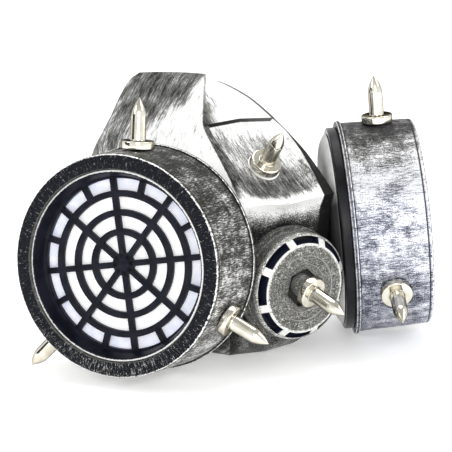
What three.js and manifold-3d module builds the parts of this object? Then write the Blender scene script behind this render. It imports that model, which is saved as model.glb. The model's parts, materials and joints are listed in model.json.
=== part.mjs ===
// Gas mask style costume mask: a hollow half mask with two round filter cans,
// a slotted chin valve and eight polished spikes.
// Millimetres, +Z up. The mask faces -Y, and the wearer's right is at -X.
// Heights and depths are first measured from the middle of the line between the two can backs.
import * as THREE from 'three';
import { mergeVertices } from 'three/addons/utils/BufferGeometryUtils.js';
import Module from 'manifold-3d';

const wasm = await Module();
wasm.setup();

// Fits and small edges
const seatGap = 0.3;
const edgeBevel = 0.5;

// The mask's overall sizes
const halfWidth = 60;
const bodyDepth = 100;
const bodyHeight = 124;
const bodyFront = 30;

// Filter cans, whose backs stand off the shell's cheeks
const canStandOff = 14.6;
const canTurn = THREE.MathUtils.degToRad(58);
const canLift = THREE.MathUtils.degToRad(5);
const canDepth = 35.5;
const canBackRadius = 48.9;
const canFrontRadius = 47.8;
const canWall = 2.2;
const lipRadius = 49.8;
const lipWidth = 1.7;
const canEdgeRound = 1.6;
const rimInnerRadius = 41.3;
const rimThickness = 2.4;
const lipStep = 0.6;

// Grille cup
const cupLip = 1.2;
const cupRecess = 7.8;
const cupFloorRadius = 36.8;
const grilleThickness = 2.6;
const cupWall = 1.8;
const cupBevel = 1.2;
const hubRadius = 5;
const webRadii = [13.9, 22.2, 30.3];
const webWidth = 2.8;
const spokeWidth = 2.6;
const spokeCount = 8;
const spokeTurn = THREE.MathUtils.degToRad(10);
const feltThickness = 3;

// Back of the cans
const baseRadius = 47;
const baseBehind = 4.6;
const baseInside = 6;
const baseBevel = 0.8;
const basePlateThickness = 2.4;
const plateRadius = 44.3;
const plateBulge = 3.8;
const plateFlatShare = 0.84;
const plateShoulderShare = 0.94;
const neckRadius = 20;
const neckLength = 3.2;

// Spikes
const flangeRadius = 7.1;
const flangeHeight = 3.5;
const shaftRadius = 3.3;
const shaftHeight = 18.4;
const straightShare = 0.56;
const tipFullness = 1.75;

// Mask shell
const shellWall = 2.6;
const lobeSag = 3;
const panelHalfWidth = 18.8;
const panelRecess = 2.9;
const panelStep = 0.7;
const borderRise = 1;
const padRadius = 21.5;
const padReach = 6;
const canRow = 10;
const noseSpikeRow = 7;
const noseSpikeShare = 0.18;
const noseSeatHeight = 0.6;
const noseSeatMargin = 0.5;
const slotLength = 22;
const slotWidth = 5;
const slotInset = 9;
const slotReach = 36;

// Chin valve
const valveDrop = 12.8;
const valveTilt = THREE.MathUtils.degToRad(2.4);
const valveSeatDepth = 26.6;
const valveBaseRadius = 25.3;
const valveBaseThickness = 2.6;
const valveRimRadius = 24.1;
const valveRimHeight = 11.3;
const valveDiscRadius = 20;
const valveDiscHeight = 15.1;
const valveStepRadii = [14.6, 10.8];
const valveStepDepth = 0.7;
const pocketRadius = 8.8;
const pocketDepth = 2.4;
const pocketTurn = THREE.MathUtils.degToRad(17);
const valveHubRadius = 5;
const valveHubStand = 2.2;
const valveHubReach = 6.4;
const valveSpikeTurn = THREE.MathUtils.degToRad(13);
const valveSpikeDip = THREE.MathUtils.degToRad(18);
const valveCapWall = 2;
const valveInsertHeight = 3.4;
const slotCount = 8;
const slotBarWidth = 3.6;
const slotRimWidth = 1;
const slotTurn = THREE.MathUtils.degToRad(18.6);

// Smoothness
const canSides = 30;
const spikeSides = 12;
const valveSides = 24;
const cheekSteps = 4;

const silverPaint = { color: 0xb4b4b2, roughness: 0.42, metalness: 0.75 };
const blackPlastic = { color: 0x101114, roughness: 0.38, metalness: 0.0 };
const whiteFelt = { color: 0xf2f3f7, roughness: 0.95, metalness: 0.0 };
const palePlastic = { color: 0xc9c9c6, roughness: 0.5, metalness: 0.0 };
const polishedNickel = { color: 0xd9d2c2, roughness: 0.12, metalness: 1.0 };

// Solids and meshes

function toSolid(geometry) {
  const bare = geometry.index ? geometry.toNonIndexed() : geometry.clone();
  bare.deleteAttribute('normal');
  bare.deleteAttribute('uv');
  const merged = mergeVertices(bare, 1e-4);
  const mesh = new wasm.Mesh({
    numProp: 3,
    vertProperties: Float32Array.from(merged.attributes.position.array),
    triVerts: Uint32Array.from(merged.index.array),
  });
  return new wasm.Manifold(mesh);
}

function toGeometry(solid) {
  const mesh = solid.getMesh();
  const geometry = new THREE.BufferGeometry();
  geometry.setAttribute('position', new THREE.BufferAttribute(Float32Array.from(mesh.vertProperties), 3));
  geometry.setIndex(new THREE.BufferAttribute(Uint32Array.from(mesh.triVerts), 1));
  geometry.computeVertexNormals();
  return geometry;
}

function named(name, geometry, finish) {
  const mesh = new THREE.Mesh(geometry, new THREE.MeshStandardMaterial(finish));
  mesh.name = name;
  return mesh;
}

// A ring or disc turned about Z from [radius, height] points that run anticlockwise
function turned(points, sides) {
  const outline = points.map(([radius, height]) => new THREE.Vector2(radius, height));
  const onAxis = points[0][0] === 0 && points[points.length - 1][0] === 0;
  if (!onAxis) outline.push(outline[0].clone());
  const geometry = new THREE.LatheGeometry(outline, sides);
  geometry.rotateX(Math.PI / 2);
  return geometry;
}

// Points of a quarter round between two directions, for turned outlines
function quarterRound(centre, radius, from, to, steps) {
  const points = [];
  for (let step = 0; step <= steps; step += 1) {
    const angle = THREE.MathUtils.degToRad(from + ((to - from) * step) / steps);
    points.push([centre[0] + radius * Math.cos(angle), centre[1] + radius * Math.sin(angle)]);
  }
  return points;
}

// Spikes

function spikeGeometry() {
  const tipStart = flangeHeight + shaftHeight * straightShare;
  const top = flangeHeight + shaftHeight;
  const outline = [[0, 0], [flangeRadius, 0], [flangeRadius, flangeHeight - edgeBevel]];
  outline.push([flangeRadius - edgeBevel, flangeHeight], [shaftRadius, flangeHeight], [shaftRadius, tipStart]);
  const tipSteps = 3;
  for (let step = 1; step < tipSteps; step += 1) {
    const share = step / tipSteps;
    outline.push([shaftRadius * (1 - share ** tipFullness), tipStart + (top - tipStart) * share]);
  }
  outline.push([0, top]);
  return turned(outline, spikeSides);
}

function makeSpike(name, seat, direction) {
  const spike = named(name, spikeGeometry(), polishedNickel);
  spike.quaternion.setFromUnitVectors(new THREE.Vector3(0, 0, 1), direction);
  spike.position.copy(seat).addScaledVector(direction, seatGap);
  return spike;
}

// Filter cans, each turned about its own +Z, with its back lip at height zero

function wallRadiusAt(height) {
  return canBackRadius + ((canFrontRadius - canBackRadius) * height) / canDepth;
}

function housingGeometry() {
  const innerBack = canBackRadius - canWall;
  const innerFront = canFrontRadius - canWall;
  const round = quarterRound([canFrontRadius - canEdgeRound, canDepth - canEdgeRound], canEdgeRound, 0, 90, 3);
  const outline = [[innerBack, 0], [lipRadius - edgeBevel, 0], [lipRadius, edgeBevel], [lipRadius, lipWidth]];
  outline.push([wallRadiusAt(lipWidth), lipWidth + lipStep], ...round);
  outline.push([rimInnerRadius, canDepth], [rimInnerRadius, canDepth - rimThickness]);
  outline.push([innerFront, canDepth - rimThickness]);
  return turned(outline, canSides);
}

// One opening of the web between two radii and two spokes
function webHole(inner, outer, spokeIndex, sectors, steps) {
  const hole = new THREE.Path();
  const centre = spokeTurn + ((spokeIndex + 0.5) * 2 * Math.PI) / sectors;
  const halfSector = Math.PI / sectors;
  const innerHalf = halfSector - Math.asin(spokeWidth / 2 / inner);
  const outerHalf = halfSector - Math.asin(spokeWidth / 2 / outer);
  for (let step = 0; step <= steps; step += 1) {
    const angle = centre - outerHalf + (2 * outerHalf * step) / steps;
    const point = [outer * Math.cos(angle), outer * Math.sin(angle)];
    if (step === 0) hole.moveTo(...point);
    else hole.lineTo(...point);
  }
  for (let step = steps; step >= 0; step -= 1) {
    const angle = centre - innerHalf + (2 * innerHalf * step) / steps;
    hole.lineTo(inner * Math.cos(angle), inner * Math.sin(angle));
  }
  hole.closePath();
  return hole;
}

function webGeometry() {
  const disc = new THREE.Shape();
  const discRadius = cupFloorRadius + cupWall / 2;
  disc.absarc(0, 0, discRadius, 0, 2 * Math.PI, false);
  const edges = [hubRadius, ...webRadii];
  edges.forEach((radius, index) => {
    const inner = index === 0 ? hubRadius : radius + webWidth / 2;
    const last = index === edges.length - 1;
    const outer = last ? cupFloorRadius : edges[index + 1] - webWidth / 2;
    const sectors = last ? spokeCount * 2 : spokeCount;
    for (let sector = 0; sector < sectors; sector += 1) {
      disc.holes.push(webHole(inner, outer, sector, sectors, index === 0 || last ? 1 : 2));
    }
  });
  const geometry = new THREE.ExtrudeGeometry(disc, {
    depth: grilleThickness,
    bevelEnabled: false,
    curveSegments: canSides / 2,
  });
  geometry.translate(0, 0, canDepth - cupRecess - grilleThickness);
  return geometry;
}

function cupGeometry() {
  const lipOuter = rimInnerRadius - seatGap;
  const lipTop = canDepth - cupLip;
  const floor = canDepth - cupRecess;
  const back = floor - grilleThickness;
  const outline = [[cupFloorRadius, back], [cupFloorRadius + cupWall, back]];
  outline.push([lipOuter, canDepth - rimThickness - seatGap], [lipOuter, lipTop]);
  outline.push([lipOuter - cupWall + edgeBevel, lipTop], [cupFloorRadius + cupBevel, floor + cupBevel]);
  outline.push([cupFloorRadius, floor]);
  return turned(outline, canSides);
}

function grilleGeometry() {
  return toGeometry(toSolid(cupGeometry()).add(toSolid(webGeometry())));
}

function feltGeometry() {
  const top = canDepth - cupRecess - grilleThickness - seatGap;
  const radius = cupFloorRadius + cupWall;
  return turned([[0, top - feltThickness], [radius, top - feltThickness], [radius, top], [0, top]], canSides);
}

// The ring fits inside the can's mouth, and its floor carries the pale plate
function baseGeometry() {
  const sleeve = canBackRadius - canWall - seatGap;
  const outline = [[0, -baseBehind], [baseRadius - baseBevel, -baseBehind], [baseRadius, baseBevel - baseBehind]];
  outline.push([baseRadius, -seatGap], [sleeve, -seatGap], [sleeve, baseInside]);
  outline.push([sleeve - basePlateThickness, baseInside]);
  outline.push([sleeve - basePlateThickness, -baseBehind + basePlateThickness]);
  outline.push([0, -baseBehind + basePlateThickness]);
  return turned(outline, canSides);
}

function plateGeometry() {
  const top = -baseBehind - seatGap;
  const back = top - plateBulge;
  const outline = [[0, back], [plateRadius * plateFlatShare, back]];
  outline.push([plateRadius * plateShoulderShare, back + plateBulge / 3]);
  outline.push([plateRadius, top - edgeBevel], [plateRadius, top], [0, top]);
  return turned(outline, canSides);
}

const plateBack = -baseBehind - seatGap - plateBulge;
const neckTop = plateBack - seatGap;
const padFace = neckTop - neckLength - seatGap;

function neckGeometry() {
  const bottom = neckTop - neckLength;
  return turned([[0, bottom], [neckRadius, bottom], [neckRadius, neckTop], [0, neckTop]], canSides / 2);
}

function canFrame(side) {
  const frame = new THREE.Group();
  frame.position.set(side * canSpread, 0, 0);
  frame.rotation.set(Math.PI / 2 - canLift, 0, side * canTurn, 'ZYX');
  return frame;
}

// Spike places round each can: degrees from the top towards the nose, and share of the can's depth
const canSpikes = {
  right: [
    { turn: 0.5, depth: 0.49 },
    { turn: 114.5, depth: 0.49 },
    { turn: 224, depth: 0.49 },
  ],
  left: [
    { turn: 2.5, depth: 0.53 },
    { turn: 116, depth: 0.5 },
    { turn: 224, depth: 0.49 },
  ],
};

function makeFilter(sideName, side) {
  const filter = canFrame(side);
  filter.add(named(`${sideName}_filter_housing`, housingGeometry(), silverPaint));
  filter.add(named(`${sideName}_filter_grille`, grilleGeometry(), blackPlastic));
  filter.add(named(`${sideName}_filter_felt`, feltGeometry(), whiteFelt));
  filter.add(named(`${sideName}_filter_base`, baseGeometry(), blackPlastic));
  filter.add(named(`${sideName}_filter_plate`, plateGeometry(), palePlastic));
  filter.add(named(`${sideName}_filter_neck`, neckGeometry(), blackPlastic));
  canSpikes[sideName].forEach((place, index) => {
    const angle = THREE.MathUtils.degToRad(place.turn);
    const outward = new THREE.Vector3(-side * Math.sin(angle), Math.cos(angle), 0);
    const height = place.depth * canDepth;
    const seat = outward.clone().multiplyScalar(wallRadiusAt(height - flangeRadius));
    seat.z = height;
    filter.add(makeSpike(`${sideName}_filter_spike_${index + 1}`, seat, outward));
  });
  return filter;
}

// Mask shell, lofted through sections that run from the middle line to the rim.
// x is a share of halfWidth, y of bodyDepth from the front, z of bodyHeight from the sole.
// mid is the middle line, ridge the fold beside the nose, side the cheek and rim the open back edge.
// panel is how much of the nose panel's recess a section has.
const sections = [
  { mid: [0.64, 0.99], ridge: [0.042, 0.634, 0.988],
    side: [0.15, 0.81, 0.983], rim: [0.26, 0.995, 0.969], panel: 0 },
  { mid: [0.576, 0.975], ridge: [0.1, 0.58, 0.969],
    side: [0.225, 0.78, 0.96], rim: [0.342, 1, 0.944], panel: 0 },
  { mid: [0.495, 0.931], ridge: [0.195, 0.5, 0.923],
    side: [0.342, 0.72, 0.896], rim: [0.467, 0.975, 0.884], panel: 0 },
  { mid: [0.424, 0.876], ridge: [0.28, 0.428, 0.865],
    side: [0.442, 0.665, 0.835], rim: [0.567, 0.95, 0.823], panel: 0 },
  { mid: [0.386, 0.845], ridge: [0.322, 0.392, 0.834],
    side: [0.508, 0.63, 0.795], rim: [0.65, 0.935, 0.775], panel: 0 },
  { mid: [0.379, 0.84], ridge: [0.325, 0.385, 0.828],
    side: [0.515, 0.625, 0.79], rim: [0.657, 0.934, 0.77], panel: 0.35 },
  { mid: [0.305, 0.792], ridge: [0.35, 0.315, 0.792],
    side: [0.583, 0.57, 0.743], rim: [0.742, 0.92, 0.719], panel: 1 },
  { mid: [0.202, 0.719], ridge: [0.378, 0.2, 0.731],
    side: [0.63, 0.5, 0.666], rim: [0.825, 0.905, 0.642], panel: 1 },
  { mid: [0.095, 0.643], ridge: [0.395, 0.1, 0.667],
    side: [0.64, 0.445, 0.594], rim: [0.883, 0.89, 0.561], panel: 0.9 },
  { mid: [-0.002, 0.581], ridge: [0.413, 0.008, 0.597],
    side: [0.64, 0.405, 0.529], rim: [0.917, 0.875, 0.489], panel: 0.3 },
  { mid: [0.03, 0.549], ridge: [0.417, 0.035, 0.537],
    side: [0.64, 0.395, 0.465], rim: [0.933, 0.865, 0.424], panel: 0 },
  { mid: [0.037, 0.465], ridge: [0.417, 0.05, 0.44],
    side: [0.64, 0.395, 0.384], rim: [0.933, 0.855, 0.352], panel: 0 },
  { mid: [0.045, 0.295], ridge: [0.425, 0.07, 0.295],
    side: [0.64, 0.4, 0.271], rim: [0.917, 0.835, 0.255], panel: 0 },
  { mid: [0.055, 0.118], ridge: [0.4, 0.11, 0.134],
    side: [0.625, 0.41, 0.15], rim: [0.85, 0.8, 0.158], panel: 0 },
  { mid: [0.11, 0.041], ridge: [0.342, 0.16, 0.049],
    side: [0.55, 0.44, 0.069], rim: [0.717, 0.76, 0.077], panel: 0 },
  { mid: [0.215, 0], ridge: [0.267, 0.245, 0],
    side: [0.417, 0.47, 0.005], rim: [0.533, 0.71, 0.025], panel: 0 },
  { mid: [0.42, 0], ridge: [0.217, 0.41, 0],
    side: [0.325, 0.54, 0], rim: [0.417, 0.67, 0.002], panel: 0 },
  { mid: [0.65, 0], ridge: [0.15, 0.65, 0],
    side: [0.233, 0.65, 0], rim: [0.317, 0.668, 0], panel: 0 },
];

const soleHeight = -lipRadius * Math.cos(canLift);

function bodyPoint([x, y, z]) {
  return new THREE.Vector3(x * halfWidth, y * bodyDepth - bodyFront, soleHeight + z * bodyHeight);
}

const canSpread = bodyPoint(sections[canRow].side).x + canStandOff;

// Half a section as points from the middle line to the rim, without the recess
function halfSection(section) {
  const mid = bodyPoint([0, ...section.mid]);
  const ridge = bodyPoint(section.ridge);
  const side = bodyPoint(section.side);
  const rim = bodyPoint(section.rim);
  const border = Math.min(panelHalfWidth, ridge.x * 0.9) / ridge.x;
  const cheek = new THREE.QuadraticBezierCurve3(
    ridge,
    side.clone().multiplyScalar(2).addScaledVector(ridge, -0.5).addScaledVector(rim, -0.5),
    rim,
  );
  const inner = Math.max(border - panelStep / ridge.x, 0.1);
  const points = [0, inner / 2, inner, border].map((share) => mid.clone().lerp(ridge, share));
  points.push(...cheek.getPoints(cheekSteps));
  return points;
}

const panelColumns = 3;

// The lobe beside the nose on the wearer's left has settled a little lower than the right one
function settled(point) {
  const back = THREE.MathUtils.smoothstep(point.y / bodyDepth, 0.35, 0.65);
  const high = THREE.MathUtils.smoothstep((point.z - soleHeight) / bodyHeight, 0.75, 0.97);
  return new THREE.Vector3(point.x, point.y, point.z - lobeSag * back * high);
}

function fullSection(half) {
  const mirrored = half.slice(1).reverse().map((point) => new THREE.Vector3(-point.x, point.y, point.z));
  return [...mirrored, ...half.map(settled)];
}

function surfaceNormals(rows) {
  return rows.map((row, rowIndex) => row.map((point, column) => {
    const above = rows[Math.max(rowIndex - 1, 0)][column];
    const below = rows[Math.min(rowIndex + 1, rows.length - 1)][column];
    const before = row[Math.max(column - 1, 0)];
    const after = row[Math.min(column + 1, row.length - 1)];
    const along = below.clone().sub(above);
    const across = after.clone().sub(before);
    return along.cross(across).normalize();
  }));
}

// Closed body between a grid of points and a fan that meets at one point behind it
function closedLoft(rows, apex) {
  const columns = rows[0].length;
  const vertices = rows.flat();
  const last = rows.length - 1;
  const at = (row, column) => row * columns + column;
  const triangles = [];
  for (let row = 0; row < last; row += 1) {
    for (let column = 0; column < columns - 1; column += 1) {
      const corner = at(row, column);
      triangles.push(corner, corner + columns, corner + 1);
      triangles.push(corner + 1, corner + columns, corner + columns + 1);
    }
  }
  const loop = [];
  for (let column = 0; column < columns - 1; column += 1) loop.push(at(0, column));
  for (let row = 0; row < last; row += 1) loop.push(at(row, columns - 1));
  for (let column = columns - 1; column > 0; column -= 1) loop.push(at(last, column));
  for (let row = last; row > 0; row -= 1) loop.push(at(row, 0));
  const apexIndex = vertices.length;
  vertices.push(apex);
  loop.forEach((corner, index) => triangles.push(corner, loop[(index + 1) % loop.length], apexIndex));
  const geometry = new THREE.BufferGeometry();
  geometry.setAttribute('position', new THREE.Float32BufferAttribute(vertices.flatMap((p) => p.toArray()), 3));
  geometry.setIndex(triangles);
  return geometry;
}

const plainRows = sections.map((section) => fullSection(halfSection(section)));
const plainNormals = surfaceNormals(plainRows);

// How deep the recess is at a column, counted from the middle line. Its border stands proud.
function recessAt(rowIndex, column) {
  const fromMiddle = Math.abs(column - (plainRows[0].length - 1) / 2);
  const { panel } = sections[rowIndex];
  if (fromMiddle < panelColumns) return panel * panelRecess;
  return fromMiddle === panelColumns ? -panel * borderRise : 0;
}

function offsetRows(depthAt) {
  return plainRows.map((row, rowIndex) => row.map((point, column) => {
    const depth = depthAt(rowIndex, column);
    return point.clone().addScaledVector(plainNormals[rowIndex][column], -depth);
  }));
}

// A plain disc whose top face lies at its frame's origin
function padGeometry(radius, reach, frame) {
  const pad = turned([[0, -reach], [radius, -reach], [radius, 0], [0, 0]], valveSides);
  frame.updateMatrixWorld(true);
  return pad.applyMatrix4(frame.matrixWorld);
}

function valveFrame() {
  const frame = new THREE.Group();
  frame.position.set(0, -valveSeatDepth, -valveDrop);
  frame.rotation.set(Math.PI / 2 + valveTilt, 0, 0);
  return frame;
}

function canPadFrame(side) {
  const frame = canFrame(side);
  const pad = new THREE.Group();
  pad.position.z = padFace;
  frame.add(pad);
  frame.updateMatrixWorld(true);
  return pad;
}

function strapSlotGeometry(side) {
  const rim = bodyPoint(sections[11].rim);
  const slot = new THREE.BoxGeometry(slotReach, slotWidth, slotLength);
  slot.translate(side * rim.x, rim.y - slotInset, rim.z);
  return slot;
}

// The nose spike stands square on the recessed panel's middle line, on a low round seat
function noseSeat() {
  const middleColumn = (plainRows[0].length - 1) / 2;
  const rows = offsetRows(recessAt);
  const [upper, lower] = [rows[noseSpikeRow][middleColumn], rows[noseSpikeRow + 1][middleColumn]];
  const direction = lower.clone().sub(upper).cross(new THREE.Vector3(1, 0, 0)).normalize();
  const seat = upper.clone().lerp(lower, noseSpikeShare).addScaledVector(direction, noseSeatHeight);
  return { seat, direction };
}

function nosePadGeometry() {
  const { seat, direction } = noseSeat();
  const frame = new THREE.Group();
  frame.position.copy(seat);
  frame.quaternion.setFromUnitVectors(new THREE.Vector3(0, 0, 1), direction);
  return padGeometry(flangeRadius + noseSeatMargin, noseSeatHeight + shellWall / 2, frame);
}

function shellGeometry() {
  const outerRows = offsetRows(recessAt);
  const cavityRows = offsetRows((row, column) => recessAt(row, column) + shellWall);
  const middle = bodyPoint([0, 0.9, 0.48]);
  const behind = middle.clone().add(new THREE.Vector3(0, bodyDepth / 2, 0));
  let shell = toSolid(closedLoft(outerRows, middle));
  for (const side of [-1, 1]) {
    shell = shell.add(toSolid(padGeometry(padRadius, padReach, canPadFrame(side))));
  }
  shell = shell.add(toSolid(padGeometry(valveRimRadius - edgeBevel, padReach, valveFrame())));
  shell = shell.add(toSolid(nosePadGeometry()));
  shell = shell.subtract(toSolid(closedLoft(extendedBack(cavityRows), behind)));
  for (const side of [-1, 1]) {
    shell = shell.subtract(toSolid(strapSlotGeometry(side)));
  }
  const bodies = shell.decompose().sort((one, other) => other.volume() - one.volume());
  return toGeometry(bodies[0]);
}

// The cavity runs straight back past the rim, so that the mask is open behind
function extendedBack(rows) {
  const reach = new THREE.Vector3(0, bodyDepth / 4, 0);
  const wide = rows.map((row) => [row[0].clone().add(reach), ...row, row[row.length - 1].clone().add(reach)]);
  const top = wide[0].map((point, column) => (column === 0 || column === wide[0].length - 1
    ? point.clone() : point.clone().add(reach)));
  const bottomRow = wide[wide.length - 1];
  const bottom = bottomRow.map((point, column) => (column === 0 || column === bottomRow.length - 1
    ? point.clone() : point.clone().add(reach)));
  return [top, ...wide, bottom];
}

// Chin valve, turned about its own +Z, seated on the shell's pad

function valveBaseGeometry() {
  const bottom = seatGap;
  const top = seatGap + valveBaseThickness;
  const outline = [[0, bottom], [valveBaseRadius, bottom], [valveBaseRadius, top - edgeBevel]];
  outline.push([valveBaseRadius - edgeBevel, top], [0, top]);
  return turned(outline, valveSides);
}

// One of the slots between the disc and the rim, cut down into the hollow cap
function valveSlot(index) {
  const shape = new THREE.Shape();
  const centre = slotTurn + ((index + 0.5) * 2 * Math.PI) / slotCount;
  const inner = valveDiscRadius;
  const outer = valveRimRadius - slotRimWidth;
  const innerHalf = Math.PI / slotCount - Math.asin(slotBarWidth / 2 / inner);
  const outerHalf = Math.PI / slotCount - Math.asin(slotBarWidth / 2 / outer);
  shape.absarc(0, 0, outer, centre - outerHalf, centre + outerHalf, false);
  shape.absarc(0, 0, inner, centre + innerHalf, centre - innerHalf, true);
  const slot = new THREE.ExtrudeGeometry(shape, {
    depth: valveDiscHeight,
    bevelEnabled: false,
    curveSegments: 3,
  });
  slot.translate(0, 0, valveRimHeight - valveCapWall - edgeBevel);
  return slot;
}

function valveSpikeSeat() {
  const frame = new THREE.Group();
  const across = Math.cos(valveSpikeDip);
  const direction = new THREE.Vector3(
    Math.sin(valveSpikeTurn) * across,
    -Math.sin(valveSpikeDip),
    Math.cos(valveSpikeTurn) * across,
  );
  frame.position.set(0, 0, valveDiscHeight + valveHubStand);
  frame.quaternion.setFromUnitVectors(new THREE.Vector3(0, 0, 1), direction);
  return { frame, direction };
}

// The six-sided pocket in the middle of the cap's face
function pocketGeometry() {
  const floor = valveDiscHeight - 2 * valveStepDepth - pocketDepth;
  const outline = [[0, floor], [pocketRadius, floor], [pocketRadius, valveDiscHeight], [0, valveDiscHeight]];
  const pocket = turned(outline, 6);
  pocket.rotateZ(pocketTurn);
  return pocket;
}

function valveCapGeometry() {
  const bottom = valveBaseThickness + 2 * seatGap;
  const under = valveRimHeight - valveCapWall;
  const [outerStep, innerStep] = valveStepRadii;
  const middleHeight = valveDiscHeight - 2 * valveStepDepth;
  const outline = [[valveRimRadius - valveCapWall, bottom], [valveRimRadius, bottom]];
  outline.push([valveRimRadius, valveRimHeight - edgeBevel], [valveRimRadius - edgeBevel, valveRimHeight]);
  outline.push([valveDiscRadius, valveDiscHeight], [outerStep, valveDiscHeight]);
  outline.push([outerStep, valveDiscHeight - valveStepDepth], [innerStep, valveDiscHeight - valveStepDepth]);
  outline.push([innerStep, middleHeight], [0, middleHeight], [0, under], [valveRimRadius - valveCapWall, under]);
  const profile = outline.map(([radius, height]) => new THREE.Vector2(radius, height));
  profile.push(profile[0].clone());
  const lathe = new THREE.LatheGeometry(profile, valveSides);
  lathe.rotateX(Math.PI / 2);
  let cap = toSolid(lathe);
  for (let index = 0; index < slotCount; index += 1) cap = cap.subtract(toSolid(valveSlot(index)));
  cap = cap.subtract(toSolid(pocketGeometry()));
  cap = cap.add(toSolid(padGeometry(valveHubRadius, valveHubReach, valveSpikeSeat().frame)));
  return toGeometry(cap);
}

function valveInsertGeometry() {
  const bottom = valveBaseThickness + 2 * seatGap;
  const top = bottom + valveInsertHeight;
  const radius = valveRimRadius - valveCapWall - seatGap;
  return turned([[0, bottom], [radius, bottom], [radius, top], [0, top]], valveSides);
}

function makeValve() {
  const valve = valveFrame();
  valve.add(named('valve_base', valveBaseGeometry(), silverPaint));
  valve.add(named('valve_cap', valveCapGeometry(), silverPaint));
  valve.add(named('valve_insert', valveInsertGeometry(), blackPlastic));
  const { frame, direction } = valveSpikeSeat();
  valve.add(makeSpike('valve_spike', frame.position, direction));
  return valve;
}

function makeNoseSpike() {
  const { seat, direction } = noseSeat();
  return makeSpike('nose_spike', seat, direction);
}

const mask = new THREE.Group();
mask.add(named('mask_shell', shellGeometry(), silverPaint));
mask.add(makeFilter('right', -1));
mask.add(makeFilter('left', 1));
mask.add(makeValve());
mask.add(makeNoseSpike());

// The part stands on Z = 0, with its box centred over the origin
mask.updateMatrixWorld(true);
const bounds = new THREE.Box3().setFromObject(mask, true);
const centre = bounds.getCenter(new THREE.Vector3());
mask.position.set(-centre.x, -centre.y, -bounds.min.z);

export default mask;
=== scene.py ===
import json
import math

import bmesh
import bpy
from mathutils import Matrix, Vector

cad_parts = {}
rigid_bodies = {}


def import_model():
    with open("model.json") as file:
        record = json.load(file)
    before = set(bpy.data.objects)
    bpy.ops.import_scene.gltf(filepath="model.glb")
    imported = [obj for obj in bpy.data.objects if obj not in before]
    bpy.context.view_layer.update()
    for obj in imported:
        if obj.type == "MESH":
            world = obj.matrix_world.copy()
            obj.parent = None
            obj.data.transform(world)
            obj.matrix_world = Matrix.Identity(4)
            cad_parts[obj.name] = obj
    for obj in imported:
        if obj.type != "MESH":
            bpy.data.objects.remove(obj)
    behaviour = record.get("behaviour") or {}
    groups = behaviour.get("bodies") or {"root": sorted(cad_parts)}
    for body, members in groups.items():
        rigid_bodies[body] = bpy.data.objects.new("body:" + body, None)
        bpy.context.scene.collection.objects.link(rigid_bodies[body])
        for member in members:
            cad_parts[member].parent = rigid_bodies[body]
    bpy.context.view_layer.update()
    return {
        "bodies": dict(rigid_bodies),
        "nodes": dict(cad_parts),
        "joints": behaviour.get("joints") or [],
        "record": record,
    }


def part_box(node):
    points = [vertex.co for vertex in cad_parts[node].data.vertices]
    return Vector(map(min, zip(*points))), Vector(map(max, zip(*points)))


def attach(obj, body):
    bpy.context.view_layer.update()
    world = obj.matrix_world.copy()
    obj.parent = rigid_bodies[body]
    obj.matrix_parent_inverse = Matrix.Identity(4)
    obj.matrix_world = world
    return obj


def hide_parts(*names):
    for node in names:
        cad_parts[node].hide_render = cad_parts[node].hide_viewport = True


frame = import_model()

print("frame loaded, nodes:", len(frame["nodes"]))

# Sizes are in millimetres, measured from the middle of the line between the can backs.

canPlace = {"spread": 53, "turn": 58, "lift": 5, "feltMiddle": 23.3}


def canFrame(side):
    turn = Matrix.Rotation(math.radians(side * canPlace["turn"]), 4, "Z")
    lift = Matrix.Rotation(math.radians(90 - canPlace["lift"]), 4, "X")
    return Matrix.Translation((side * canPlace["spread"], 0, 0)) @ turn @ lift


feltLow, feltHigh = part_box("right_filter_felt")
feltCentre = (Vector(feltLow) + Vector(feltHigh)) * 500
middle = feltCentre - canFrame(-1) @ Vector((0, 0, canPlace["feltMiddle"]))
inPlace = Matrix.Scale(0.001, 4) @ Matrix.Translation((0, middle.y, middle.z))


# Mesh helpers

def finishMesh(bm, name, place, sharpAngle=32, recalc=True):
    if recalc:
        bmesh.ops.recalc_face_normals(bm, faces=bm.faces)
    bm.transform(place)
    mesh = bpy.data.meshes.new(name)
    bm.to_mesh(mesh)
    bm.free()
    mesh.shade_smooth()
    mesh.set_sharp_from_angle(angle=math.radians(sharpAngle))
    obj = bpy.data.objects.new(name, mesh)
    bpy.context.scene.collection.objects.link(obj)
    return obj


def softOutline(points, steps=4, closed=False):
    # each point is (radius, height) or (radius, height, corner size)
    soft = []
    count = len(points)
    for index, point in enumerate(points):
        corner = Vector(point[:2])
        size = point[2] if len(point) > 2 else 0
        atEnd = index in (0, count - 1) and not closed
        if size == 0 or atEnd:
            soft.append(corner)
            continue
        before = Vector(points[index - 1][:2]) - corner
        after = Vector(points[(index + 1) % count][:2]) - corner
        reach = min(size, before.length * 0.48, after.length * 0.48)
        start = corner + before.normalized() * reach
        end = corner + after.normalized() * reach
        for step in range(steps + 1):
            t = step / steps
            soft.append(start * (1 - t) ** 2 + corner * 2 * t * (1 - t) + end * t ** 2)
    return soft


def turnedBm(outline, steps, closed):
    bm = bmesh.new()
    rings = []
    for radius, height in outline:
        if radius < 1e-5:
            rings.append([bm.verts.new((0, 0, height))])
            continue
        angles = [2 * math.pi * step / steps for step in range(steps)]
        rings.append([bm.verts.new((radius * math.cos(a), radius * math.sin(a), height)) for a in angles])
    pairs = list(zip(rings, rings[1:]))
    if closed:
        pairs.append((rings[-1], rings[0]))
    for low, high in pairs:
        for step in range(steps):
            after = (step + 1) % steps
            corners = [low[step % len(low)], low[after % len(low)], high[after % len(high)], high[step % len(high)]]
            unique = list(dict.fromkeys(corners))
            if len(unique) > 2:
                bm.faces.new(unique)
    return bm


def turnedPiece(name, points, place, steps=128, closed=False, sharpAngle=32):
    bm = turnedBm(softOutline(points, closed=closed), steps, closed)
    return finishMesh(bm, name, place, sharpAngle)


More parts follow.
